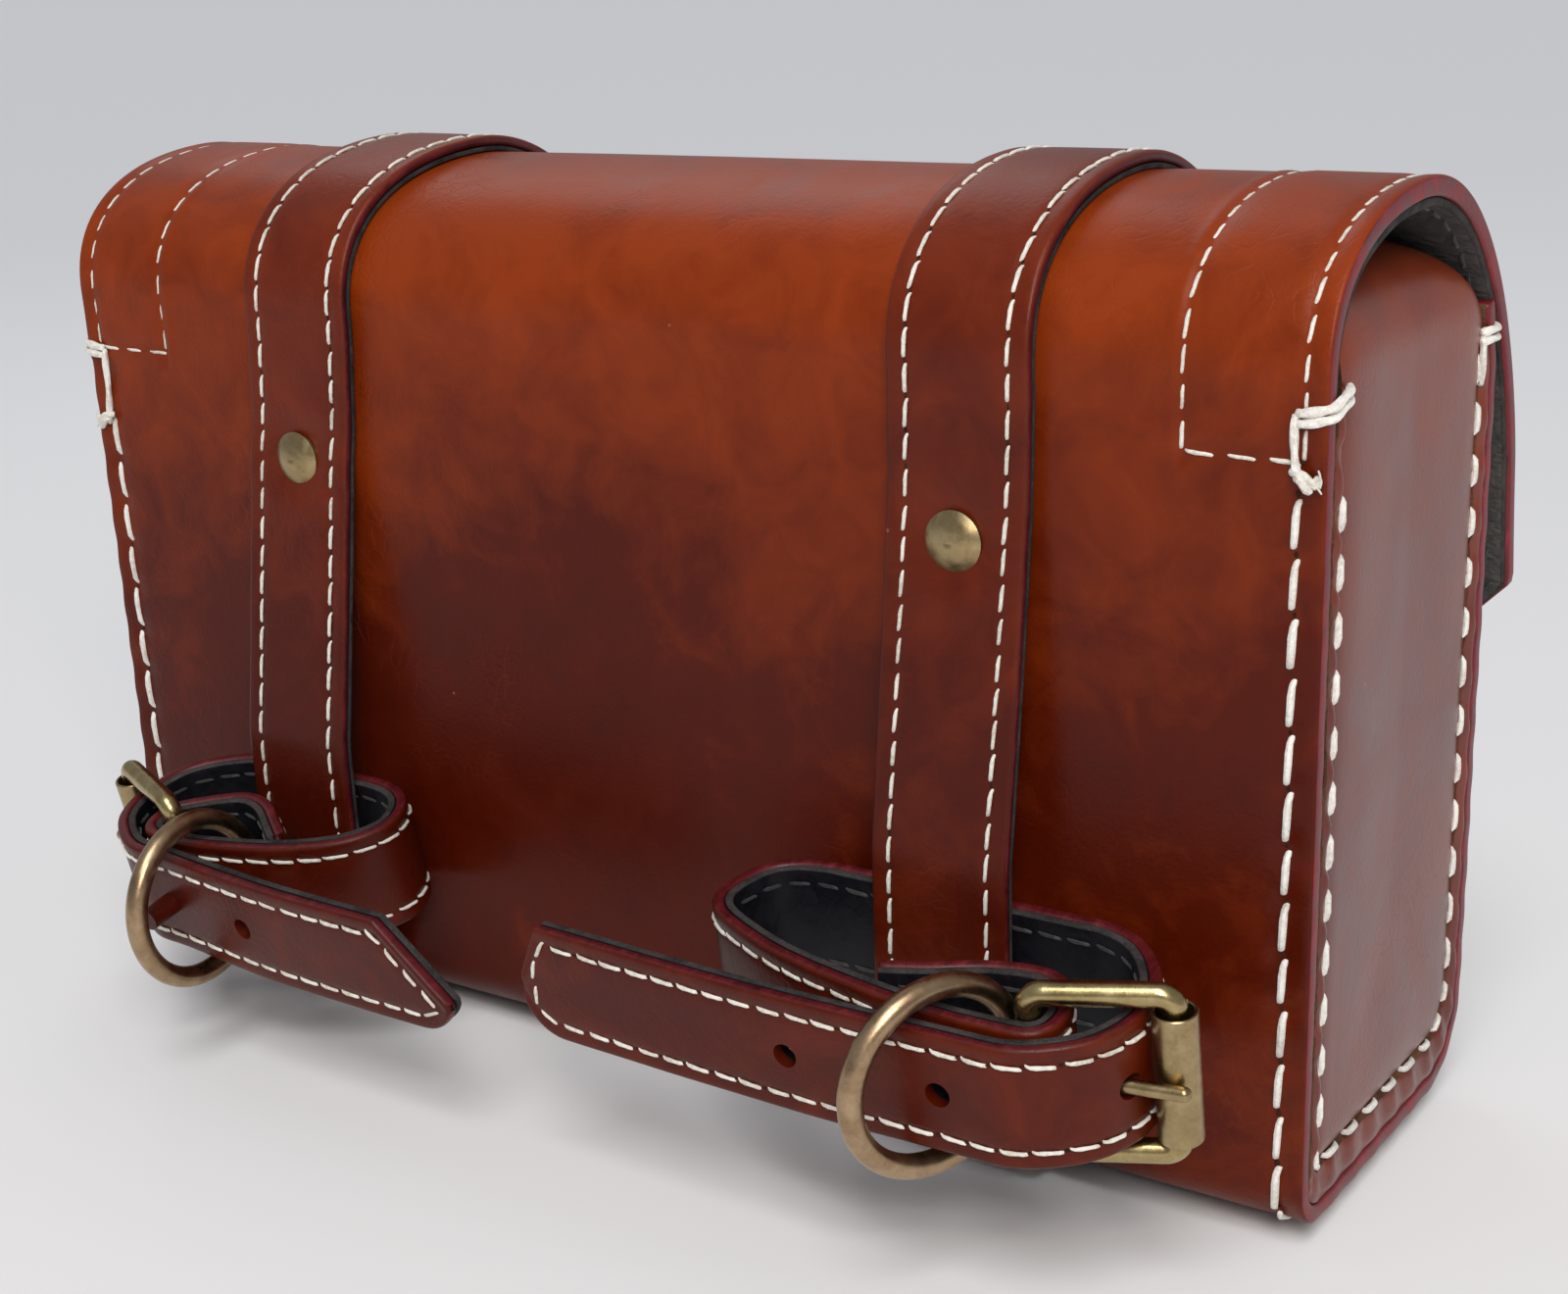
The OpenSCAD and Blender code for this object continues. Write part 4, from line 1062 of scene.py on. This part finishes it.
def long_strap(strap, name):
    path = long_path(strap)
    x0 = strap.side * STRAP_X
    s_mid = path.find(y=-4, start=30, end=120)
    s_rivet = path.find(z=RIVET_Z, start=150, end=path.find(y=0, start=250))
    s_back = path.find(z=20, start=120, end=220)

    # How far the strap leans sideways at some lengths along it, in millimetres
    marks = [0, s_mid, s_back, path.find(z=78, start=s_back, end=s_rivet), s_rivet,
             path.find(z=FOLD_Z, start=s_back, end=s_back + 140),
             path.find(y=0, start=s_back + 120), path.find(z=100, start=s_back + 160), path.length]
    leans = [0, 0, 0, -0.3, -0.1, 1.8, 4.5, 0, 0] if strap.side < 0 else [0, 0, 0, 0, 0, 0.5, 0.6, 0, 0]

    def drift(s):
        return np.interp(s, marks, leans)

    def place(p, t):
        return bag_plane(p, t + x0)

    def dent(s, t, lo, hi):
        uneven = 0.22 * wave(s, t, size=26.0, seed=strap.side + 4.0)
        out = -0.22 * gauss(np.abs(t) - STRAP_SEAM, 0.7) + uneven
        out = out - 0.75 * gauss(np.hypot(t, s - s_rivet), 5.2)
        return out + 0.25 * gauss(np.hypot(t, s - s_rivet) - 9.5, 2.4)

    def tip(s):
        d = path.length - s
        r = STRAP_W / 2
        return r if d >= r else math.sqrt(max(0.09, r * r - (r - d) ** 2))

    near_tip = path.length - np.r_[(15.0, 12.5, 10.5, 8.5, 6.5, 5.0, 3.6, 2.4, 1.5, 0.8, 0.35, 0.12, 0.0)]
    upper = np.r_[spaced((s_mid, path.length - 17, 1.5)), near_tip]
    lower = np.r_[FINE, spaced((FINE_END, s_mid, 1.6))]
    made = []
    for part, rows, ends in (("base", lower, (True, False)), ("run", upper, (False, True))):
        edges = {} if part == "base" else dict(low_edge=lambda s: -tip(s), high_edge=tip)
        b = Build()
        strip(b, path, rows, STRAP_COLS, STRAP_BACK_T, STRAP_ALL, place, dent=dent, round_ends=ends,
              round_r=0.8, drift=drift, **edges)
        leather = b.make(f"long_strap_{part}_{name}", ALL_HIDE_STRAP)
        b = Build()
        inset = {} if part == "base" else dict(low_edge=lambda s: -max(0.2, tip(s) - 0.25),
                                               high_edge=lambda s: max(0.2, tip(s) - 0.25))
        strip(b, path, rows, STRAP_COLS * 0.98, 0.0, STRAP_BACK_T, place, tags=(0, 1, 0),
              round_ends=ends, round_r=0.35, drift=drift, **inset)
        lining = b.make(f"long_strap_{part}_lining_{name}", [LINING, LINING_EDGE])
        made.append((part, leather, lining))
    b = Build()
    s = np.arange(s_mid + 2, path.length - 12.6, 1.0)
    round_tip = np.linspace(0, math.pi, 25)
    tip_s = path.length - STRAP_W / 2 + STRAP_SEAM * np.sin(round_tip)
    tip_t = -STRAP_SEAM * np.cos(round_tip)
    for t in (-STRAP_SEAM, STRAP_SEAM):
        p, n = surface_line(path, s, t + drift(s), STRAP_ALL - 0.19, place)
        seam(b, b, p, n)
    p, n = surface_line(path, tip_s, tip_t, STRAP_ALL - 0.19, place)
    seam(b, b, p, n)
    b2 = Build()
    s = np.arange(6.0, s_mid, 1.0)
    for t in (-STRAP_SEAM, STRAP_SEAM):
        p, n = surface_line(path, s, t, STRAP_ALL - 0.19, place)
        seam(b2, b2, p, n)
    top = b.make("long_strap_stitching_" + name, [THREAD, HOLE_SHADE])
    base = b2.make("long_strap_base_stitching_" + name, [THREAD, HOLE_SHADE])
    return path, made, top, base


def cut(obj, tools):
    """Cuts closed tools out of a piece, and leaves the result in its mesh."""
    for tool in tools:
        m = obj.modifiers.new("cut", "BOOLEAN")
        m.operation, m.object, m.solver = "DIFFERENCE", tool, "EXACT"
    dg = bpy.context.evaluated_depsgraph_get()
    mesh = bpy.data.meshes.new_from_object(obj.evaluated_get(dg))
    obj.modifiers.clear()
    obj.data = mesh
    shade(mesh, SHARP)


def rod(ends, r, mat):
    """A straight closed rod between two points, as a cutting tool."""
    a, c = [np.array(q, float) for q in ends]
    d = unit(c - a)
    ref = np.array((0, 0, 1.0)) if abs(d[2]) < 0.9 else np.array((1.0, 0, 0))
    u = unit(np.cross(d, ref))
    w = np.cross(d, u)
    sides = 20
    ang = np.linspace(0, 2 * math.pi, sides, endpoint=False)
    ring = np.outer(np.cos(ang) * r, u) + np.outer(np.sin(ang) * r, w)
    b = Build()
    b.add(np.concatenate([a + ring, c + ring]), grid_faces(2, sides) + caps(2, sides), 0)
    return b.make("tool", [mat])


def block(corners, mat):
    """A six-sided cutting tool between eight corners."""
    b = Build()
    b.add(corners, [(0, 1, 3, 2), (4, 6, 7, 5), (0, 4, 5, 1), (2, 3, 7, 6), (0, 2, 6, 4), (1, 5, 7, 3)], 0)
    return b.make("tool", [mat])


def drop(tools):
    for t in tools:
        mesh = t.data
        bpy.data.objects.remove(t)
        bpy.data.meshes.remove(mesh)


ALL_HIDE_STRAP = [STRAP_HIDE, STRAP_PAINT, FLESH]
for name, strap in STRAPS.items():
    path, made, top, base = long_strap(strap, name)
    for part, leather, lining in made:
        if part == "run":
            tools = []
            for i in range(3):
                x, z = strap.side * STRAP_X, CLOSURE_TIP_Z + CLOSURE_HOLE_UP + i * CLOSURE_HOLE_STEP
                tools.append(rod([(x, 45, z), (x, 75, z)], HOLE_R, SUEDE))
            cut(leather, tools)
            cut(lining, tools)
            drop(tools)
            bend(leather)
            bend(lining)
            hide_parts("back_strap_" + name, "closure_strap_" + name)
            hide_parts(f"back_strap_{name}_backing", f"closure_strap_{name}_backing")
        else:
            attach(leather, "bag")
            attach(lining, "bag")
    bend(top)
    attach(base, "bag")


# ---- Front chapes ---------------------------------------------------------------
for side, name in BOTH:
    bar_y = BODY_D / 2 + CHAPE_T + WIRE_R + 0.05
    r = WIRE_R + 0.05 + CHAPE_T / 2
    y_in, y_out = BODY_D / 2 + CHAPE_T / 2, BODY_D / 2 + 1.5 * CHAPE_T
    path = Path([(y_in, 20.2), (y_in, CHAPE_Z)] + arc((bar_y, CHAPE_Z), r, 180, 0, 16)[1:]
                + bezier([(bar_y + r, CHAPE_Z), (bar_y + r, CHAPE_Z - 4), (y_out, CHAPE_Z - 3.4),
                          (y_out, CHAPE_Z - 8)], 10)
                + [(y_out, 20.2)])
    b = Build()
    x0 = side * STRAP_X

    def place(p, t):
        return bag_plane(p, t + x0)

    strip(b, path, end_rows(path.length, 0.8), STRAP_COLS, -CHAPE_T / 2, CHAPE_T / 2, place,
          dent=lambda s, t, lo, hi: -0.2 * gauss(np.abs(t) - STRAP_SEAM, 0.8) + 0 * s, round_r=0.7)
    obj = b.make("chape_look_" + name, ALL_HIDE_STRAP)
    heights = (CHAPE_Z - 5, 60)
    tool = block([(x0 + i * SLOT_HALF, y, z) for i in (-1, 1) for y in (36.5, 60) for z in heights], SUEDE)
    cut(obj, [tool])
    drop([tool])
    b = Build()
    s = np.arange(path.length - 13.0, path.length - 1.5, 0.7)
    for t in (-STRAP_SEAM, STRAP_SEAM):
        p, n = surface_line(path, s, t, CHAPE_T / 2 - 0.1, place)
        seam(b, b, p, n)
    seams = b.make("chape_stitching_" + name, [THREAD, HOLE_SHADE])
    for o, slot in ((obj, "strap_leather"), (seams, "thread")):
        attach(o, "bag")
    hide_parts("chape_" + name)


# ---- Mounting straps --------------------------------------------------------------
OVER_HEEL = WIRE_R + MOUNT_T / 2 + 0.3


def mount_path(k):
    """The mounting strap from its inner end over the buckle's heel, round the bend and back through
    the buckle to its tip, with the middles of the heel bar and the roller."""
    h = np.array((k.heel[0], -k.heel[1]))
    run, x = k.heel[0] - k.bend_x, k.bend_x
    v1 = k.heel[1] + OVER_HEEL
    v2 = v1 + MOUNT_T + 0.6
    inner = np.array((k.ring[0] + RING_R * math.sin(k.lean), -(k.ring[1] - RING_R * math.cos(k.lean))))
    b = inner + (WIRE_R + MOUNT_T / 2 + 0.9) * np.array((math.sin(k.lean), math.cos(k.lean)))
    fa = math.radians(FRAME_ANGLE)
    r = h + BUCKLE_L * np.array((math.cos(fa), math.sin(fa)))

    def over(a):
        a = math.radians(a)
        return h + OVER_HEEL * np.array((math.cos(a), -math.sin(a)))

    def out(px, v):
        return np.array((px, -v))

    pts = [
        out(b[0] - 0.36 * run, v1 - MOUNT_T - 3.3), b + (-0.25 * run, -5.4), b + (-0.12 * run, -1.6), b,
        b + (4.6, -1.2), h + (3.4, 4.2), over(0), over(32), over(64), over(94),
        out(h[0] - 4.6, v1 + 0.2), out(h[0] - 0.22 * run, v1 + 0.1),
        out(x + 0.52 * run, v1 - 2.2), out(x + 0.31 * run, v1 - 5), out(x + 0.14 * run, v1 - 9),
        out(x + 2, v1 - 13), out(x, v1 - 18.2), out(x + 2.2, 4.6), out(x + 6.6, 1.2),
        out(x + 12.5, 0), out(x + 17, 0), out(r[0] - 27, 0), r + (-20, -r[1] - 0.1),
        r + (-13.2, -r[1] - 3.2), r + (-7.6, 8), r + (-5.9, 1), r + (-6.4, -5), r + (-9.8, -11.2),
        out(h[0] + 2, v2 + 0.3), out(h[0] - 8, v2 + 1.2),
        out((h[0] + k.tip[0]) / 2, (v2 + k.tip[1]) / 2 + 1.6), out(*k.tip),
    ]
    return Path(smooth_curve(pts, 10), soften=0.6), h, r


MOUNT_COLS = np.array([-10.5, -9.6, -8.7, -8.1, -7.8, -7.5, -7.2, -6.9, -6.2, -4, -2, 0, 2, 4, 6.2, 6.9,
                       7.2, 7.5, 7.8, 8.1, 8.7, 9.6, 10.5])

for name, k in STRAPS.items():
    path, h, r = mount_path(k)
    L = path.length
    top, base = MOUNT_W / 2, -MOUNT_W / 2
    round_r = 8.0
    drop_top, run_top = k.cut
    d0 = 0.0 if k.side > 0 else 0.55

    def high_edge(s):
        d = L - s + d0
        return top - (drop_top * (1 - d / run_top) if d < run_top else 0)

    def low_edge(s):
        d = L - s + d0
        return base + (round_r - math.sqrt(max(0.0, round_r**2 - (round_r - d) ** 2)) if d < round_r else 0)

    near = L - np.array((17, 15.5, 14.5, 13.5, 12, 10.5, 9, 7.8, 6.6, 5.5, 5.0, 4.4, 3.6, 2.8, 2.1, 1.5,
                         1.0, 0.6, 0.3, 0.1, 0.0))
    rows = np.r_[FINE, spaced((FINE_END, L - 18.5, 1.1)), near]

    def place(p, t):
        return k.to_bag(p, t)

    def dent(s, t, lo, hi):
        groove = gauss(np.minimum(t - lo, hi - t) - 3.0, 0.7)
        return -0.28 * groove + 0.2 * wave(s, t, size=18.0, seed=k.side + 9.0)

    n_mid = -MOUNT_T / 2 + MOUNT_BACK_T
    b = Build()
    strip(b, path, rows, MOUNT_COLS, n_mid, MOUNT_T / 2, place, low_edge=low_edge, high_edge=high_edge,
          dent=dent, round_r=0.75)
    leather = b.make("mounting_strap_look_" + name, ALL_HIDE_STRAP)
    b = Build()
    strip(b, path, rows, MOUNT_COLS * 0.985, -MOUNT_T / 2, n_mid, place, tags=(0, 1, 0),
          low_edge=lambda s: low_edge(s) + 0.15, high_edge=lambda s: high_edge(s) - 0.15, round_r=0.3)
    lining = b.make("mounting_lining_" + name, [LINING, LINING_EDGE])

    # Holes, the slot for the prong's eye and the prong's own hole
    tools = []
    for x in k.holes:
        v = -(k.heel[1] + 12)
        ends = [k.to_bag(np.array((x, v - 5.5)), np.array(0.0)),
                k.to_bag(np.array((x, v + 5.5)), np.array(0.0))]
        tools.append(rod(ends, HOLE_R, SUEDE))
    rise = math.asin((ROLLER_R + 1.2 + 0.05) / BUCKLE_L)
    a = math.radians(FRAME_ANGLE) - rise
    along = np.array((math.cos(a), math.sin(a)))
    ends = [k.to_bag(h + along * d, np.array(0.0)) for d in (8.5, 17.0)]
    tools.append(rod(ends, HOLE_R, SUEDE))
    x0, v0 = k.heel[0] - 4.5, -k.heel[1] - WIRE_R - MOUNT_T - 0.4
    corners = [k.to_bag(np.array((x, v)), np.array(float(t))) for x in (x0, x0 + 12) for v in (v0, v0 + 9)
               for t in (-SLOT_HALF, SLOT_HALF)]
    tools.append(block(corners, SUEDE))
    cut(leather, tools)
    cut(lining, tools)
    drop(tools)

    # Stitching along both edges and round the tip, on both faces
    b = Build()
    s = np.arange(3.0, L - run_top - 2.4, 0.8)
    tip_s = np.linspace(L - run_top - 2.4, L - 3.4, 14)
    upper_t = np.array([high_edge(x + 1.0) - 3.0 for x in tip_s])
    tip_back = np.linspace(L - 3.0, L - run_top - 2.4, 16)
    lower_t = np.array([max(low_edge(x + 0.8) + 3.0, -MOUNT_SEAM) for x in tip_back])
    for off, flip, mat, holes in ((MOUNT_T / 2 - 0.24, 1, 0, b), (-MOUNT_T / 2 + 0.1, -1, 2, None)):
        for t in (-MOUNT_SEAM, MOUNT_SEAM):
            p, n = surface_line(path, s, t, off, place, flip)
            seam(b, holes, p, n, pitch=5.2, mat=mat)
        around_s = np.r_[tip_s, tip_back]
        around_t = np.r_[upper_t, lower_t]
        p, n = surface_line(path, around_s, around_t, off, place, flip)
        seam(b, holes, p, n, pitch=5.0, mat=mat)
    seams = b.make("mounting_stitching_" + name, [THREAD, HOLE_SHADE, DIM_THREAD])
    body = "mount_strap_" + name
    for o, slot in ((leather, "strap_leather"), (lining, "backing"), (seams, "thread")):
        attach(o, body)
    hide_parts("mounting_strap_" + name)
    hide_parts(f"mounting_strap_{name}_backing")


# ---- Rollers ------------------------------------------------------------------------
def roller(centre, axis, side_way, length, name, body, node):
    """A roller rolled from sheet: a thin wall with an open seam."""
    axis, u = unit(np.array(axis, float)), np.array(side_way, float)
    u = unit(u - axis * (u @ axis))
    w = np.cross(axis, u)
    lip = ROLLER_LIP
    a = np.radians(np.linspace(4, 356, 60))
    r_out, r_in = ROLLER_R, ROLLER_R - ROLLER_WALL
    profile = [(r_in, -length / 2 + lip), (r_in + lip, -length / 2), (r_out - lip, -length / 2),
               (r_out, -length / 2 + lip),
               (r_out, 0.0), (r_out, length / 2 - lip), (r_out - lip, length / 2), (r_in + lip, length / 2),
               (r_in, length / 2 - lip), (r_in, 0.0)]
    v = []
    for ang in a:
        for rr, z in profile:
            v.append(centre + axis * z + u * rr * math.cos(ang) + w * rr * math.sin(ang))
    k = len(profile)
    b = Build()
    b.add(np.array(v), grid_faces(len(a), k) + caps(len(a), k), 0)
    obj = b.make(name, [BRASS], sharp=30)
    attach(obj, body)
    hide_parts(node)


for name, k in STRAPS.items():
    path, h, r = mount_path(k)
    c = k.to_bag(r, np.array(0.0))
    axis = k.to_bag(r, np.array(1.0)) - c
    way = k.to_bag(r + (0.2, 1.0), np.array(0.0)) - c
    roller(c, axis, way, MOUNT_ROLLER_L, "mounting_roller_look_" + name, "mount_roller_" + name,
           "mounting_roller_" + name)
    y = BODY_D / 2 + CHAPE_T + WIRE_R + 0.05
    roller(np.array((k.side * STRAP_X, y, CHAPE_Z + BUCKLE_L)), (1, 0, 0), (0, -1, -0.3), FRONT_ROLLER_L,
           "front_roller_look_" + name, "front_roller_" + name, "front_roller_" + name)

# ---- CAD nodes that stay --------------------------------------------------------------
for n, obj in nodes.items():
    if obj.hide_render:
        continue
    look = BRASS
    if n.startswith("keeper_ring"):
        look = RING_BRASS
    elif "buckle" in n:
        look = WIRE_BRASS
    obj.data.materials.clear()
    obj.data.materials.append(look)

# ---- Stage, light and camera -------------------------------------------------------------
mesh = bpy.data.meshes.new("floor")
half = 40.0
mesh.from_pydata([(-half, -half, 0), (half, -half, 0), (half, half, 0), (-half, half, 0)], [],
                 [(0, 1, 2, 3)])
floor = new_object("floor", mesh)
pale = bpy.data.materials.new("pale_floor")
pale.use_nodes = True
surface = pale.node_tree.nodes["Principled BSDF"].inputs
surface["Base Color"].default_value = (0.85, 0.85, 0.86, 1)
surface["Roughness"].default_value = 0.65
surface["Specular IOR Level"].default_value = 0.2
mesh.materials.append(pale)

sky = bpy.data.worlds.new("studio")
sky.use_nodes = True
sky.node_tree.nodes["Background"].inputs["Color"].default_value = (0.93, 0.95, 1.0, 1)
sky.node_tree.nodes["Background"].inputs["Strength"].default_value = 0.36
bpy.context.scene.world = sky


def area(name, where, target, size, power, colour=(1, 1, 1)):
    light = bpy.data.lights.new(name, "AREA")
    light.shape = "RECTANGLE"
    light.size, light.size_y = size
    light.energy = power
    light.color = colour
    o = new_object(name, light)
    o.location = where
    o.rotation_euler = (Vector(target) - Vector(where)).to_track_quat("-Z", "Y").to_euler()


# name, place, target, size, watts and colour
area("key", (0.50, -0.58, 0.56), (0.03, 0, 0.11), (0.3, 0.3), 3.5, (1.0, 0.95, 0.88))
area("rim", (-0.5, 0.5, 0.8), (0, 0, 0.12), (0.5, 0.5), 0.8)

sun = bpy.data.lights.new("sun", "SUN")
sun.energy = 1.25
sun.angle = math.radians(28)
sun_object = new_object("sun", sun)
sun_object.rotation_euler = Vector((0.25, -0.55, 1.0)).to_track_quat("Z", "Y").to_euler()
bpy.context.scene.view_settings.view_transform = "Standard"


def camera():
    """The photograph's view: round from the back, from above, and a little rolled."""
    distance = 0.44705
    az, el, roll = math.radians(34.92), math.radians(18.67), math.radians(-2.31)
    target = Vector(world((10.35, 0.0, 57.08)))
    back = Vector((math.sin(az) * math.cos(el), -math.cos(az) * math.cos(el), math.sin(el)))
    right = (-back).cross(Vector((0, 0, 1))).normalized()
    up = right.cross(-back)
    c, s = math.cos(roll), math.sin(roll)
    right2, up2 = c * right + s * up, c * up - s * right
    data = bpy.data.cameras.new("camera")
    data.sensor_width = 36
    data.lens = 54.48
    data.shift_x, data.shift_y = -0.0005, 0.0455
    data.clip_start, data.clip_end = 0.01, 100
    obj = new_object("camera", data)
    m = Matrix((right2, up2, back)).transposed().to_4x4()
    m.translation = target + back * distance
    obj.matrix_world = m
    bpy.context.scene.camera = obj


camera()
